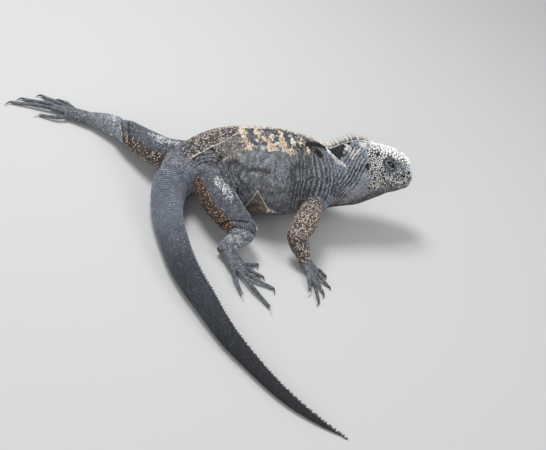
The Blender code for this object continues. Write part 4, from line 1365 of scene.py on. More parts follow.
def mouth_look(look, s, wide, points, side):
    """Pale lips on one side, with painted shade along the line between them."""
    close = (s < 60) & (wide > 60)
    gap = np.full(len(s), 99.0)
    gap[close] = line_gap(points[close], mouth_points(side)[::3])
    above = close * (wide < np.interp(s, *zip(*MOUTH_LINE)))
    lip = window(gap, 1.4, 4.6, 1.0) * 0.85
    look.lay(above * lip, UPPER_LIP, FACE_PALE, 0.5, 0.2)
    lip = window(gap, 1.2, 3.0, 1.0) * 0.7
    look.lay((1 - above) * lip, LOWER_LIP, FACE_PALE, 0.4, 0.1)
    # Painted shade along the mouth's line.
    look.lay(hill(gap, 0, 1.3), BLACK, share=0)


def eye_look(look, points, edge, side):
    """Rings of colour round one eye: the lids, painted shade in the crease round them and in the
    opening, and a painted highlight on the edge of the lower lid.
    """
    along, across, outwards = eye_steps(points, side)
    low = across + 0.9 * soft_step(across, 1.5, 4)
    gap = np.where(outwards > -1, np.hypot(along / EYE_OPENING[0], low / EYE_OPENING[1]), 9)
    ring = window(gap + edge * 0.35, 1.0, 1.75, 0.35)
    look.lay(ring * 0.8, *LID, 0.14, 0.08)
    # Painted shade in the lids' crease and in the opening; painted highlight on the lower lid's edge.
    look.lay(hill(gap, 1.45, 0.12) * 0.8, LID_CREASE_SHADE)
    look.lay(1 - soft_step(gap, 0.9, 1.15), EYE_OPENING_SHADE, share=0)
    lower = 1 - soft_step(across, -1.4, 0.2)
    look.lay(hill(gap, 1.08, 0.08) * lower, LOWER_LID_HIGHLIGHT, share=0)


def paw_look(name, share, edge):
    look = Look(len(share), *TOE, 0.06)
    look.lay(0.5 * soft_step(edge, 0.1, 0.6), TOE_DARK)
    if "digit" in name:
        look.lay(soft_step(share, 0.72, 1) * 0.5, TOE_END)
    return look


def arm_look(name, share, edge, facing):
    look = Look(len(share), NAVY, ORANGE, 0.30)
    look.lay(soft_step(facing[:, 2] + edge * 0.25, -0.35, 0.45), ARM_TOP, PEACH, 0.45)
    if "upper" in name:
        look.lay(1 - soft_step(share, 0.08, 0.3), *SHOULDER, 0.22)
    return look


def shank_look(share, edge):
    look = Look(len(share), *SHANK, 0.18)
    crust = soft_step(edge, -0.2, 0.4) * window(share, 0.2, 0.62, 0.15)
    look.lay(crust, *SHANK_CRUST, 0.45)
    return look


def thigh_look(right, share, turn, edge):
    """Markings of a thigh, with a painted highlight along its front fold and painted shade in the
    crease of its knee. turn is the angle from its top towards its rear, in degrees.
    """
    look = Look(len(share), *THIGH, 0.05)
    low, high = (58, 150) if right else (60, 140)
    rear = window(turn + edge * 9, low, high, 9) * (1 - soft_step(share, 0.8, 0.92))
    look.lay(rear, THIGH_REAR, ORANGE if right else PEACH, 0.22)
    under = window(turn + edge * 6, high - 34, high + 10, 9) * (1 - soft_step(share, 0.82, 0.94))
    look.lay(under * 0.85, *THIGH_UNDER, 0.26)
    near = hill(share, 0.34, 0.2) * hill(turn, -2, 24)
    look.lay(soft_step(near + edge * 0.5, 0.35, 0.6), *THIGH_PATCH, 0.5)
    knee = soft_step(past_knee(share, turn), 0, 0.02) * window(turn, 0, 110, 12)
    look.lay(knee, SHANK[0], KNEE_FLECK, 0.3)
    # Painted highlight along the thigh's front fold, weaker on the left thigh.
    look.lay(thigh_rim(share, turn) * (1 if right else 0.3), THIGH_RIM_HIGHLIGHT, share=0)
    # Painted shade in the crease between thigh and shank.
    look.lay(knee_crease(share, turn), KNEE_CREASE_SHADE, share=0)
    return look


def limb_look(name, s, degrees, points, facing, relief):
    """Markings of a limb or digit, with painted shade in its creases and painted light on its ridges.
    facing is the outward direction at each point.
    """
    share = s / PARTS[name].size
    edge = rough_noise(points, 6, 31)
    right = "right" in name
    if is_paw(name):
        look = paw_look(name, share, edge)
    elif "shoulder" in name:
        look = Look(len(s), *SHOULDER_FOLD, 0.12)
    elif "arm" in name:
        look = arm_look(name, share, edge, facing)
    elif "shank" in name:
        look = shank_look(share, edge)
    else:
        look = thigh_look(right, share, degrees if right else -degrees, edge)
    look.ground *= mottle(points, s, degrees)[:, None]
    # Painted shade in the limb's creases and painted light on its ridges.
    look.ground *= np.clip(1.12 + 0.9 * relief, 0.3, 1.2)[:, None]
    return look


def markings(owner, s, angle, points, facing, relief):
    """The animal's colours at each place, the same for skin and scales."""
    found = Look(len(s), SLATE)
    for number in np.unique(owner):
        mine = owner == number
        degrees = np.degrees(wrapped(angle[mine]))
        place = s[mine], degrees, points[mine]
        if number == 0:
            look = body_look(*place, relief[mine])
        else:
            look = limb_look(NAMES[number], *place, facing[mine], relief[mine])
        found.ground[mine], found.fleck[mine] = look.ground, look.fleck
        found.share[mine], found.dark[mine] = look.share, look.dark
    return found


# Scales

# Where each scale stands: its point and outward direction, its form with the place and angle
# there, the scale's length and width, and how far the skin stands out.
Roots = namedtuple("Roots", "at out owner s angle along across relief")


def join_roots(groups):
    return Roots(*(np.concatenate(column) for column in zip(*groups)))


def pick(roots, chosen):
    return Roots(*(column[chosen] for column in roots))


def body_pitch(s, degrees):
    """Length and width of the scales at a place on the body."""
    wide = np.abs(degrees)
    along = np.interp(s, SCALE_PLACES, SCALE_LENGTHS)
    across = np.interp(s, SCALE_PLACES, SCALE_WIDTHS)
    size = 1.8 + 1.6 * window(s, 12, 54, 8) * (1 - soft_step(wide, 34, 56))
    size += 0.5 * window(s, 2, 62, 4) * (1 - soft_step(wide, 40, 100))
    size -= 0.3 * soft_step(wide, 110, 130)
    on_head = 1 - soft_step(s, 62, 76)
    return along + (size - along) * on_head, across + (size - across) * on_head


def pitch_at(owner, s, angle):
    along, across = body_pitch(s, np.degrees(wrapped(angle)))
    limb = np.array([PAW_SCALE if is_paw(name) else LIMB_SCALE for name in NAMES])[owner]
    return np.where(owner == 0, along, limb), np.where(owner == 0, across, limb)


def row_places(number, start, stop):
    """Places in staggered rows across a part, each a scale's size apart."""
    part = PARTS[NAMES[number]]
    s, odd, found = start, 0.0, []
    turns = np.linspace(-math.pi, math.pi, ROW_TURNS + 1)
    while s < stop:
        loose = 0.04 if number == 0 and s > TAIL_RINGS else 0.22
        along, across = pitch_at(np.array([number]), np.array([s]), np.array([1.2]))
        ring = part.points(np.full(len(turns), s), turns)
        run = np.concatenate([[0], np.cumsum(np.linalg.norm(np.diff(ring, axis=0), axis=1))])
        count = max(5, round(run[-1] / across[0]))
        places = (np.arange(count) + odd + RNG.uniform(-loose, loose, count)) / count % 1 * run[-1]
        angle = np.interp(places, run, turns)
        found.append(np.stack([s + RNG.uniform(-loose, loose, count) * along[0], angle], 1))
        s += along[0] * ROW_STEP
        odd = 0.0 if number == 0 and s > TAIL_RINGS else 0.5 - odd
    return np.concatenate(found)


def head_places():
    """Mirrored places on the head: rows on the crown and lips first, then the gaps."""
    crown = [(s, 0.0) for s in np.arange(3, 66, 2.9)]
    mouth = mouth_curve()
    line = mouth.read(np.arange(0.5, mouth.end, 2.1))
    lips = [(s, math.radians(turn + step)) for s, turn in line[:, :2] for step in (-6.5, 6.5)]
    grid = np.stack(np.meshgrid(np.arange(0.6, HEAD_END, 0.55), np.arange(0.03, 3.12, 0.022)), -1)
    grid = grid.reshape(-1, 2) + RNG.uniform(-0.25, 0.25, (grid.size // 2, 2)) * (0.55, 0.022)
    seeds = np.array(crown + lips)
    places = np.concatenate([seeds, RNG.permutation(grid)])
    s, angle = places.T
    size = pitch_at(np.zeros(len(s), int), s, angle)[0] * 0.9
    points = body.points(s, angle)
    middle = body.points(s, np.zeros(len(s)))
    clear = np.linalg.norm(points - middle, axis=1) > size * 0.5
    clear[:len(crown)] = True
    kept = np.flatnonzero(clear)
    kept = kept[spaced(points[kept], size[kept] * 0.93, np.zeros(len(kept), bool))]
    places = places[kept]
    mirror = places[places[:, 1] > 0] * (1, -1)
    return np.concatenate([places, mirror])


def point_tree(points):
    tree = KDTree(len(points))
    for i, point in enumerate(points.tolist()):
        tree.insert(point, i)
    tree.balance()
    return tree


def spaced(points, reach, filler):
    """Choose points in order, each clear of those before it. Fillers keep further away."""
    tree = point_tree(points)
    free = np.ones(len(points), bool)
    kept = []
    for i, point in enumerate(points.tolist()):
        if not free[i]:
            continue
        kept.append(i)
        for _, j, gap in tree.find_range(point, reach[i] * 1.3):
            if j > i and (filler[j] or gap < reach[i]):
                free[j] = False
    return np.array(kept)


class Ground:
    """The finished surface that scales and shed skin stand on: the skin, or skin and lids."""

    def __init__(self, items, relief):
        points, faces, normals, firsts = [], [], [], []
        total = 0
        for mesh in (item.data for item in items):
            found = read_points(mesh)
            corners, starts = read_corners(mesh)
            rows = (corners + total).tolist()
            faces += [rows[a:b] for a, b in zip(starts[:-1], starts[1:])]
            smooth = read_normals(mesh)[corners]
            normals.append(unit(np.add.reduceat(smooth, starts[:-1], axis=0)))
            firsts.append(corners[starts[:-1]] + total)
            points.append(found)
            total += len(found)
        self.normals = np.concatenate(normals)
        self.firsts = np.concatenate(firsts)
        self.relief = np.append(relief, 0)
        self.tree = BVHTree.FromPolygons(np.concatenate(points).tolist(), faces)

    def drop(self, points):
        """The nearest places on the surface, their outward directions, how far they are and
        the skin's relief there."""
        hits = [self.tree.find_nearest(point) for point in points.tolist()]
        at = np.array([hit[0] for hit in hits])
        face = np.array([hit[2] for hit in hits])
        relief = self.relief[np.minimum(self.firsts[face], len(self.relief) - 1)]
        return at, self.normals[face], np.array([hit[3] for hit in hits]), relief


def laid(number, places, ground, near):
    """Roots for scales at places on a part, where that part is what shows."""
    s, angle = places.T
    owner = np.full(len(s), number)
    part = PARTS[NAMES[number]]
    wanted = part.points(s, angle, -SKIN_DEPTH)
    at, out, gap, relief = ground.drop(wanted)
    if "digit" in NAMES[number]:
        ahead = part.points(s + 0.2, angle) - part.points(s - 0.2, angle)
        around = part.points(s, angle + 0.05) - part.points(s, angle - 0.05)
        true_out = unit(np.cross(around, ahead))
        true_out *= np.sign((true_out * (wanted - part.frames(s)[0])).sum(1))[:, None]
        free = (gap < 0.7)[:, None]
        at = np.where(free, wanted, at)
        out = np.where(free, true_out, out)
    along, across = pitch_at(owner, s, angle)
    return pick(Roots(at, out, owner, s, angle, along, across, relief), gap < near)


def open_places(at):
    """False where a scale would fill an eye, a nostril, an ear or the line of the mouth."""
    free = at[:, 2] > 0.7
    for side in (-1, 1):
        along, across, outwards = eye_steps(at, side)
        free &= (np.hypot(along / LIDS_CLEAR[0], across / LIDS_CLEAR[1]) > 1) | (outwards < -3)
        free &= nostril_gap(at, side) > 2.3
        gap, off = ear_gap(at, side)
        free &= (gap > 1.1) | (off > 7)
        mouth = mouth_points(side)
        close = np.flatnonzero(np.linalg.norm(at - mouth[30], axis=1) < 40)
        free[close[line_gap(at[close], mouth) < 0.9]] = False
    return free


def lid_roots(side, tree):
    """Roots for the beads of the lids, in rings round the opening."""
    found = []
    for row, share in enumerate(BEAD_ROWS):
        count = round(25 + 9 * share)
        turn = (np.arange(count) + row % 2 / 2 + RNG.uniform(-0.2, 0.2, count)) * math.tau / count
        at, before, beside = (
            lid_points(side, turn + past, np.full(count, share - inside), tree, -BEADS_RAISED)
            for past, inside in ((0, 0), (0, 0.03), (0.02, 0)))
        out = unit(np.cross(at - before, beside - at))
        out *= np.sign(out @ eye_place(side)[1])[:, None]
        size = np.full(count, 0.85 + 0.85 * share) * RNG.uniform(0.8, 1.15, count)
        angle = np.full(count, side * math.radians(EYE[1]))
        found.append(Roots(at, out, np.zeros(count, int), np.full(count, float(EYE[0])), angle,
                           size, size, np.zeros(count)))
    return join_roots(found)


def all_roots(skin, ground, skin_tree):
    """Every scale's root: the head's pattern, the rows of body and limbs, then what is bare."""
    groups = [laid(0, head_places(), ground, 2.2)]
    groups.append(laid(0, row_places(0, HEAD_END, body.end - 1), ground, 3.4))
    for number, name in enumerate(NAMES[1:], 1):
        near = 1.2 if "digit" in name else 2.6
        groups.append(laid(number, row_places(number, 0.5, PARTS[name].size - 0.2), ground, near))
    mesh = skin.item.data
    order = RNG.permutation(len(mesh.vertices))
    along, across = pitch_at(skin.owner, skin.s, skin.angle)
    filler = Roots(read_points(mesh), read_normals(mesh), skin.owner, skin.s, skin.angle,
                   along, across, skin.relief)
    groups.append(pick(filler, order))
    roots = join_roots(groups)
    is_filler = np.arange(len(roots.s)) >= len(roots.s) - len(order)
    free = np.flatnonzero(open_places(roots.at))
    roots, is_filler = pick(roots, free), is_filler[free]
    small = np.minimum(roots.along, roots.across)
    kept = spaced(roots.at, small * 0.64, is_filler)
    return join_roots([lid_roots(-1, skin_tree), lid_roots(1, skin_tree), pick(roots, kept)])


def outlines(roots, sides):
    """For each root its own axes, and how far its scale reaches in each direction before it
    meets its neighbours."""
    ahead = ahead_of(roots)
    ahead = unit(ahead - roots.out * (ahead * roots.out).sum(1)[:, None])
    around = np.cross(roots.out, ahead)
    tree = point_tree(roots.at)
    near = np.array([[hit[1] for hit in tree.find_n(point, 9)][1:] for point in roots.at.tolist()])
    step = roots.at[near] - roots.at[:, None]
    x = np.einsum("ijk,ik->ij", step, ahead)
    y = np.einsum("ijk,ik->ij", step, around)
    reach = np.hypot(x, y)
    turns = ring_turns(sides)
    facing = (x[:, :, None] * np.cos(turns) + y[:, :, None] * np.sin(turns)) / reach[:, :, None]
    limit = np.where(facing > 0.2, reach[:, :, None] / 2 / np.maximum(facing, 0.2), 99).min(1)
    oval = np.hypot(roots.along[:, None] * np.cos(turns), roots.across[:, None] * np.sin(turns))
    wide = np.abs(np.degrees(roots.angle))
    bare = (roots.owner == 0) * window(wide, 36, 80, 8) * window(roots.s, 36, 60, 5)
    limit = limit * (0.95 - 0.2 * bare)[:, None]
    return ahead, around, turns, np.clip(limit, 0.22 * oval, 0.66 * oval)


def ahead_of(roots):
    """The way the scales' points lie: to the tail on the body and to the toes on a limb."""
    found = np.zeros((len(roots.s), 3))
    for number in np.unique(roots.owner):
        mine = roots.owner == number
        forward = PARTS[NAMES[number]].frames(roots.s[mine])[1]
        found[mine] = -forward if number == 0 else forward
    return found


def placed(at, ahead, around, out, x, y, z):
    """Points at steps along three directions from each place."""
    return (at[:, None] + ahead[:, None] * x[..., None] + around[:, None] * y[..., None]
            + out[:, None] * z[..., None])


def scale_places(roots, shape, profile, height):
    """The points of each scale, ring by ring from its foot."""
    ahead, around, turns, reach = shape
    rings = []
    for long_share, wide_share, rise, rear in profile:
        x = reach * np.cos(turns) * long_share + (0.12 * roots.along * max(rise, 0))[:, None]
        y = reach * np.sin(turns) * wide_share
        z = rise * height[:, None] + rear * height[:, None] * (x / roots.along[:, None] + 0.5)
        if rise < 0:
            z = np.full_like(x, rise)
        ring = placed(roots.at, ahead, around, roots.out, x, y, z)
        rings.append(ring[:, :1] if long_share == 0 else ring)
    return np.concatenate(rings, axis=1)


def scale_faces(profile, sides):
    """The faces of one scale: its sides, then its foot, and a flat top where it has no point."""
    pointed = profile[-1][0] == 0
    faces = ring_faces(len(profile) - pointed, sides)
    last = (len(profile) - 2) * sides
    if pointed:
        faces += [(last + j, last + (j + 1) % sides, last + sides) for j in range(sides)]
    faces.append(tuple(range(sides))[::-1])
    if not pointed:
        faces.append(tuple(range(last + sides, last + 2 * sides)))
    return faces


def scale_colours(roots, turns, profile, gap, rear_light_front_shade, uneven):
    """The colours of each scale's points, with painted shade at its foot and front and painted light on
    its top and rear. Some scales are odd ones, pale or black.
    """
    count = len(roots.s)
    look = markings(roots.owner, roots.s, roots.angle, roots.at, roots.out, roots.relief)
    odd = (RNG.uniform(0, 1, count) < look.share)[:, None]
    tone = np.clip(RNG.normal(1, uneven, count), 0.5, 1.7)[:, None]
    dark = (RNG.uniform(0, 1, count) < look.dark)[:, None]
    base = np.where(dark, BLACK, np.where(odd, look.fleck, look.ground)) * tone
    # Painted shade at each scale's foot and painted light towards its top; the rear end is painted
    # lighter and the overlapped front darker.
    shades = np.array([gap if rise < 0 else 0.62 + 0.46 * rise for _, _, rise, _ in profile])
    shades = (shades[:, None] * (1 + rear_light_front_shade * np.cos(turns))[None]).ravel()
    return base[:, None] * shades[None, :, None]


def make_scales(name, roots, chosen, shape, profile, height, material,
                gap=0.34, rear_light_front_shade=0.16, uneven=0.24):
    """The chosen scales as one piece. gap is how light the foot of a scale is drawn, as painted shade,
    and the tops are drawn lighter as painted light;
    the next setting is how much lighter the rear end is drawn, as painted light, and the overlapped
    front darker, as painted shade, and uneven how much their tones differ."""
    ahead, around, turns, reach = shape
    shape = ahead[chosen], around[chosen], turns, reach[chosen]
    mine = pick(roots, chosen)
    places = scale_places(mine, shape, profile, height[chosen])
    width = places.shape[1]
    colours = scale_colours(mine, turns, profile, gap, rear_light_front_shade, uneven)[:, :width]
    centre = map_places(mine.owner, mine.s, mine.angle)
    patch = np.concatenate([np.stack([np.cos(turns) * ring[0], np.sin(turns) * ring[1]], 1)
                            for ring in profile])[:width] * MAP_PATCH
    maps = centre[:, None] + patch[None]
    return stamped("scales_" + name, places, scale_faces(profile, len(turns)), colours, maps,
                   material)


def make_coat(roots, material):
    """The scales of the whole animal, one piece for each stretch of the body and each limb."""
    six, eight = outlines(roots, 6), outlines(roots, 8)
    wide = np.abs(np.degrees(roots.angle))
    size = np.minimum(roots.along, roots.across)
    large = size > LARGE_SCALE
    jitter = RNG.uniform(0.8, 1.2, len(roots.s))
    on_head = np.interp(size, *zip(*HEAD_HEIGHTS)) * jitter
    on_tail = np.interp(roots.s, *zip(*TAIL_HEIGHTS)) * jitter
    on_trunk = BEAD_HEIGHT * jitter + 0.35 * (1 - soft_step(wide, 8, 40))
    for name, start, stop, slot in STRETCHES:
        chosen = (roots.owner == 0) & (roots.s >= start) & (roots.s < stop)
        # Head and tail scales are drawn near black at their feet as painted shade, and the tail's rings
        # are painted light at the rear and shade at the front.
        if name == "head":
            make_scales("crown", roots, chosen & large, eight, KNOB, on_head, material, 0.05)
            make_scales("face", roots, chosen & ~large, six, DOME, on_head, material, 0.05)
        elif slot == "skin_tail":
            make_scales(name, roots, chosen, eight, KEEL, on_tail, material, 0.08, 0.45, 0.12)
        else:
            make_scales(name, roots, chosen, six, BEAD, on_trunk, material)
    for side in ("right", "left"):
        for title, words in LIMB_COATS.items():
            numbers = [k for k, name in enumerate(NAMES) if name.startswith(side)
                       and any(word in name for word in words)]
            chosen = np.isin(roots.owner, numbers)
            profile, height = (PLATE, PAW_HEIGHT) if is_paw(title) else (BEAD, BEAD_HEIGHT)
            make_scales(f"{side}_{title}", roots, chosen, six, profile, height * jitter,
                        material)


# Peeling skin

def skin_axes(out, s):
    """Directions along and across the body at places on its skin."""
    ahead = -body.frames(s)[1]
    ahead = unit(ahead - out * (ahead * out).sum(1)[:, None])
    return ahead, np.cross(out, ahead)


def flake_seeds():
    """Places for flakes along the pale strokes, on both sides: distance from the tip, angle,
    the stroke's half width, and how peach its colour is."""
    found = []
    for path, width, colour, _ in STROKES:
        if colour not in (SHED, SHED_PEACH):
            continue
        path = np.array(path, float)
        steps = np.diff(path, axis=0) * (1, MM_PER_DEGREE)
        run = np.concatenate([[0], np.cumsum(np.hypot(*steps.T))])
        for side in (-1, 1):
            count = max(2, round(run[-1] * width / FLAKE_SPREAD))
            t = RNG.uniform(0, run[-1], count)
            s = np.interp(t, run, path[:, 0]) + RNG.normal(0, width * 0.6, count)
            turn = np.interp(t, run, path[:, 1]) + RNG.normal(0, width * 0.8, count)
            found.append(np.stack([s, np.radians(turn) * side, np.full(count, width),
                                   RNG.uniform(0, 1, count) * (colour is SHED_PEACH)], 1))
    return np.concatenate(found).T


def flake_faces(sides):
    """The faces of one flake, whose rings are its top's rim and middle, then the underside's
    middle and rim."""
    faces = [tuple(range(sides, 2 * sides)), tuple(range(2 * sides, 3 * sides))[::-1]]
    for j in range(sides):
        k = (j + 1) % sides
        for a, b in ((0, 1), (2, 3), (3, 0)):
            faces.append((a * sides + j, a * sides + k, b * sides + k, b * sides + j))
    return faces


def make_flakes(ground, material):
    """Thin torn sheets of dead skin that lift along the pale strokes, on both sides."""
    s, angle, width, peach = flake_seeds()
    at, out = ground.drop(body.points(s, angle))[:2]
    ahead, around = skin_axes(out, s)
    count, sides = len(s), 11
    turns = ring_turns(sides)
    way = RNG.uniform(0, math.tau, count)[:, None]
    size = (RNG.uniform(0.8, 2.3, count) * np.clip(width / 2.6, 0.45, 1.1))[:, None]
    reach = size * RNG.uniform(0.4, 1.2, (count, sides))
    long, short = reach * np.cos(turns) * 1.35, reach * np.sin(turns) * 0.8
    x = long * np.cos(way) - short * np.sin(way)
    y = long * np.sin(way) + short * np.cos(way)
    free = RNG.uniform(0, math.tau, count)[:, None]
    curl = (RNG.uniform(0, 1, count) ** 3 * 0.9 + 0.05)[:, None]
    rings = []
    for share, drop in ((1.0, 0.0), (0.5, 0.0), (0.5, FLAKE_THICKNESS), (1.0, FLAKE_THICKNESS)):
        rx, ry = x * share, y * share
        tip = (rx * np.cos(free) + ry * np.sin(free)) / size
        z = 0.5 + curl * np.clip(tip + 0.2, 0, None) ** 2 - drop
        rings.append(placed(at, ahead, around, out, rx, ry, z))
    base = mix(SHED, SHED_PEACH, peach) * RNG.uniform(0.55, 1.0, count)[:, None]
    tint = np.repeat(base[:, None], len(rings) * sides, axis=1)
    tint[:, :sides] *= 1.12
    patch = np.tile(np.stack([np.cos(turns), np.sin(turns)], 1) * MAP_PATCH, (len(rings), 1))
    maps = chart_place(0, s, angle)[:, None] + patch[None]
    return stamped("shed_flakes", np.concatenate(rings, axis=1), flake_faces(sides), tint, maps,
                   material)


def sheet_piece(name, outer, inner, steps, tint, maps, material):
    """A thin closed sheet over a square grid of places, with its rim closed."""
    faces = []
    for i in range(steps - 1):
        for j in range(steps - 1):
            a = i * steps + j
            faces.append((a, a + steps, a + steps + 1, a + 1))
    count = steps * steps
    last = steps - 1
    faces += [tuple(corner + count for corner in face[::-1]) for face in faces]
    rim = [j for j in range(last)] + [i * steps + last for i in range(last)]
    rim += [last * steps + j for j in range(last, 0, -1)] + [i * steps for i in range(last, 0, -1)]
    faces += [(a, b, b + count, a + count) for a, b in zip(rim, rim[1:] + rim[:1])]
    mesh = simple_mesh(name, np.concatenate([outer, inner]), faces)
    # The underside is drawn at 0.6 of the top's colour, as painted shade.
    paint_points(mesh, np.concatenate([tint, tint * 0.6]), np.concatenate([maps, maps]))
    dress(new_object(name, mesh), material)


def make_flap(ground, material):
    """The torn brown flap of old skin low on the right flank, with its pale edges."""
    shares = np.linspace(0, 1, FLAP_STEPS)
    row, column = np.repeat(shares, FLAP_STEPS), np.tile(shares, FLAP_STEPS)
    rows, lefts, rights, turns = np.array(FLAP_OUTLINE).T
    flat = np.stack([row * 30, column * 20, np.zeros(len(row))], 1)
    left = np.interp(row, rows, lefts) + (noise(flat, 5, 41) * 2.2 + noise(flat, 1.6, 56)) * row
    right = np.interp(row, rows, rights) + (noise(flat, 4, 42) * 2.2 + noise(flat, 1.6, 57)) * row
    s = left + (right - left) * column
    turn = np.interp(row, rows, turns) + noise(flat, 6, 46) * 3 * row
    at, out = ground.drop(body.points(s, -np.radians(turn)))[:2]
    buckle = 0.6 * rough_noise(flat, 7, 43) + 0.3 * ridges(column * 3 + row * 2 + noise(flat, 9, 47))
    lift = 0.8 + 1.8 * hill(row, 0.55, 0.3) * (0.3 + column * (1 - column) * 2.8) + buckle * row
    lift += 0.22 * noise(flat, 1.6, 49)
    outer = at + out * np.maximum(lift, 0.55)[:, None]
    edge = np.minimum(np.abs(np.minimum(column, 1 - column) * (right - left)), row * 16)
    grain = rough_noise(outer, 2.6, 44)
    tint = mix(FLAP_BROWN, FLAP_TAN, 0.8 * soft_step(grain, 0.0, 0.45))
    tint = mix(tint, FLAP_PALE, 0.8 * soft_step(noise(outer, 1.3, 48), 0.45, 0.7))
    tint = mix(tint, FLAP_DARK, 0.8 * soft_step(rough_noise(outer, 5, 45), 0.0, 0.4))
    upper = 1 - soft_step(row, 0.45, 0.75)
    tint = mix(tint, RIDGE, (1 - soft_step(edge + grain * 0.5, 0.5, 1.1)) * (0.25 + 0.75 * upper))
    tint = mix(tint, WHITE, hill(row, 0.52, 0.06) * (1 - soft_step(1 - column, 0.05, 0.16)))
    maps = chart_place(0, s, -np.radians(turn))
    inner = outer - out * FLAP_THICKNESS
    sheet_piece("shed_flap", outer, inner, FLAP_STEPS, tint, maps, material)


def make_ridge(ground, material):
    """The raised torn edge of old skin that runs over the right side of the hips."""
    count, sides = SHED_EDGE_RINGS, 8
    curve = Curve([(place, turn * MM_PER_DEGREE, 0.0, 0.0) for place, turn in SHED_EDGE])
    found = curve.read(np.linspace(0, curve.end, count))
    flat = np.stack([found[:, 0], found[:, 1], np.zeros(count)], 1)
    s = found[:, 0] + noise(flat, 3, 51) * 0.5
    angle = -np.radians(found[:, 1] / MM_PER_DEGREE + noise(flat, 3.5, 52) * 0.8)
    at, out = ground.drop(body.points(s, angle))[:2]
    ahead = unit(np.gradient(at, axis=0))
    side = np.cross(out, ahead)
    turns = ring_turns(sides)
    ends = np.sqrt(np.clip(1 - np.linspace(-1, 1, count) ** 6, 0.02, 1))
    size = np.clip(1 + 1.1 * rough_noise(flat, 2.6, 53), 0.15, 2) * ends
    rise = 0.35 + SHED_EDGE_HEIGHT * (size[:, None] * np.sin(turns))
    across = SHED_EDGE_WIDTH / 2 * size[:, None] * np.cos(turns)
    rings = at[:, None] + out[:, None] * rise[..., None] + side[:, None] * across[..., None]
    mesh = simple_mesh("shed_edge", rings.reshape(-1, 3), tube_faces(count, sides))
    tone = 0.85 + 0.35 * rough_noise(flat, 4, 54)
    tint = mix(RIDGE, SHED, soft_step(rough_noise(flat, 5, 55), -0.2, 0.4)) * tone[:, None]
    maps = chart_place(0, s, angle)
    paint_points(mesh, np.repeat(tint, sides, 0), np.repeat(maps, sides, 0))
    dress(new_object("shed_edge", mesh), material)


# Materials

def add_node(tree, kind, values, joins, **settings):
    """A node with its settings and the values of its inputs, and inputs joined to outputs."""
    node = tree.nodes.new("ShaderNode" + kind)
    for key, value in settings.items():
        setattr(node, key, value)
    for key, value in values.items():
        node.inputs[key].default_value = value
    for key, output in joins.items():
        tree.links.new(output, node.inputs[key])
    return node


def grown(name, grain, depth, smooth, rough, coat=0.0):
    """A material that shows the painted tint with a fine grain, relief and uneven gloss.
    grain and depth are the size and height of the relief in millimetres."""
    material = bpy.data.materials.new(name)
    material.use_nodes = True
    tree = material.node_tree
    shader = tree.nodes["Principled BSDF"]
    shader.inputs["Coat Weight"].default_value = coat
    tint = add_node(tree, "Attribute", {}, {}, attribute_name="tint").outputs["Color"]
    place = add_node(tree, "TexCoord", {}, {}).outputs["Object"]
    fine, coarse = (add_node(tree, "TexNoise", {"Scale": 1 / (size * MM), "Detail": 4},
                             {"Vector": place}).outputs["Fac"] for size in (grain, grain * 9))
    shade = add_node(tree, "MapRange", {"To Min": 0.62, "To Max": 1.38}, {"Value": fine})
    mixed = add_node(tree, "VectorMath", {}, {0: tint, "Scale": shade.outputs["Result"]},
                     operation="SCALE")
    gloss = add_node(tree, "MapRange", {"From Min": 0.3, "From Max": 0.7, "To Min": smooth,
                                        "To Max": rough}, {"Value": coarse})
    bump = add_node(tree, "Bump", {"Strength": 0.8, "Distance": depth * MM}, {"Height": fine})
    for key, output in (("Base Color", mixed.outputs["Vector"]),
                        ("Roughness", gloss.outputs["Result"]),
                        ("Normal", bump.outputs["Normal"])):
        tree.links.new(output, shader.inputs[key])
    return material


def plain(name, colour, rough):
    material = bpy.data.materials.new(name)
    material.use_nodes = True
    shader = material.node_tree.nodes["Principled BSDF"]
    shader.inputs["Base Color"].default_value = (*colour, 1)
    shader.inputs["Roughness"].default_value = rough
    return material


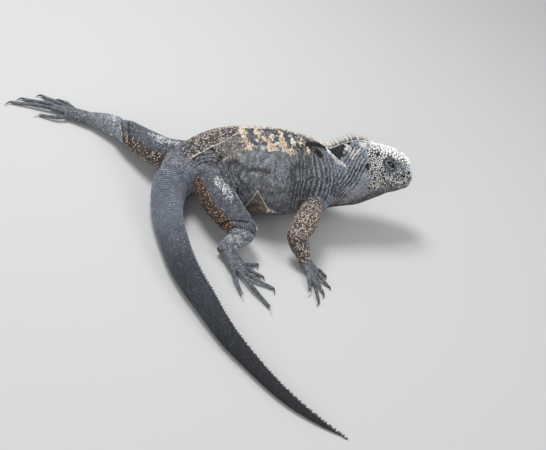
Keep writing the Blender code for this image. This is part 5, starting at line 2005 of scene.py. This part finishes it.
def make_stage():
    """A pale floor, soft light from all round and the camera at the photo's angle."""
    corners = np.array([(-1.0, -1, 0), (1, -1, 0), (1, 1, 0), (-1, 1, 0)])
    mesh = simple_mesh("floor", FLOOR_REACH * corners, [(0, 1, 2, 3)])
    floor = new_object("floor", mesh)
    mesh.materials.append(plain("floor", FLOOR_GREY, 0.8))
    floor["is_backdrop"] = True
    world = bpy.data.worlds.new("studio")
    world.use_nodes = True
    background = world.node_tree.nodes["Background"]
    background.inputs["Color"].default_value = (*SKY, 1)
    background.inputs["Strength"].default_value = SKY_STRENGTH
    bpy.context.scene.world = world
    for place, size, power in LIGHTS:
        light = bpy.data.lights.new("softbox", "AREA")
        light.energy = power
        light.size = size
        lamp = new_object("softbox", light)
        lamp.location = place
        lamp.rotation_euler = (-Vector(place)).to_track_quat("-Z", "Y").to_euler()
        lamp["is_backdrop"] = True
    bpy.context.scene.view_settings.view_transform = "Standard"
    make_camera()


def make_camera():
    azimuth, elevation, roll = (math.radians(a) for a in (VIEW_AZIMUTH, VIEW_ELEVATION, VIEW_ROLL))
    forward = np.array([math.sin(azimuth) * math.cos(elevation),
                        math.cos(azimuth) * math.cos(elevation), -math.sin(elevation)])
    level = np.array([math.cos(azimuth), -math.sin(azimuth), 0])
    upright = np.cross(level, forward)
    right = level * math.cos(roll) + upright * math.sin(roll)
    up = upright * math.cos(roll) - level * math.sin(roll)
    target = np.array([SHIFT[0], SHIFT[1], VIEW_TARGET_HEIGHT])
    turn = Matrix((right, up, -forward)).transposed().to_4x4()
    camera = new_object("camera", bpy.data.cameras.new("camera"))
    camera.data.lens = VIEW_LENS
    camera.data.sensor_width = 36
    camera.data.clip_start = 0.01
    camera.matrix_world = Matrix.Translation((target - forward * VIEW_DISTANCE) * MM) @ turn
    bpy.context.scene.camera = camera


skin = make_skin()
skin_material = grown("skin", 0.5, 0.12, 0.5, 0.8)
scale_material = grown("scales", 0.4, 0.06, 0.42, 0.7)
spine_material = grown("spines", 0.6, 0.05, 0.4, 0.65)
claw_material = grown("claws", 0.5, 0.03, 0.25, 0.45)
eye_material = grown("eyes", 0.4, 0.005, 0.04, 0.1, 1.0)
paint_skin(skin, skin_material)
skin_ground = Ground([skin.item], skin.relief)
lids = make_eyes(skin_ground.tree, skin_material, eye_material)
ground = Ground([skin.item] + lids, skin.relief)
make_coat(all_roots(skin, ground, skin_ground.tree), scale_material)
make_flakes(skin_ground, scale_material)
make_flap(skin_ground, scale_material)
make_ridge(skin_ground, scale_material)
for crest in CRESTS:
    make_crest(*crest, spine_material)
for name, digits in DIGITS.items():
    for number, points in enumerate(digits, 1):
        make_claw(name, number, points[3], claw_material)
make_stage()
low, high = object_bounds()
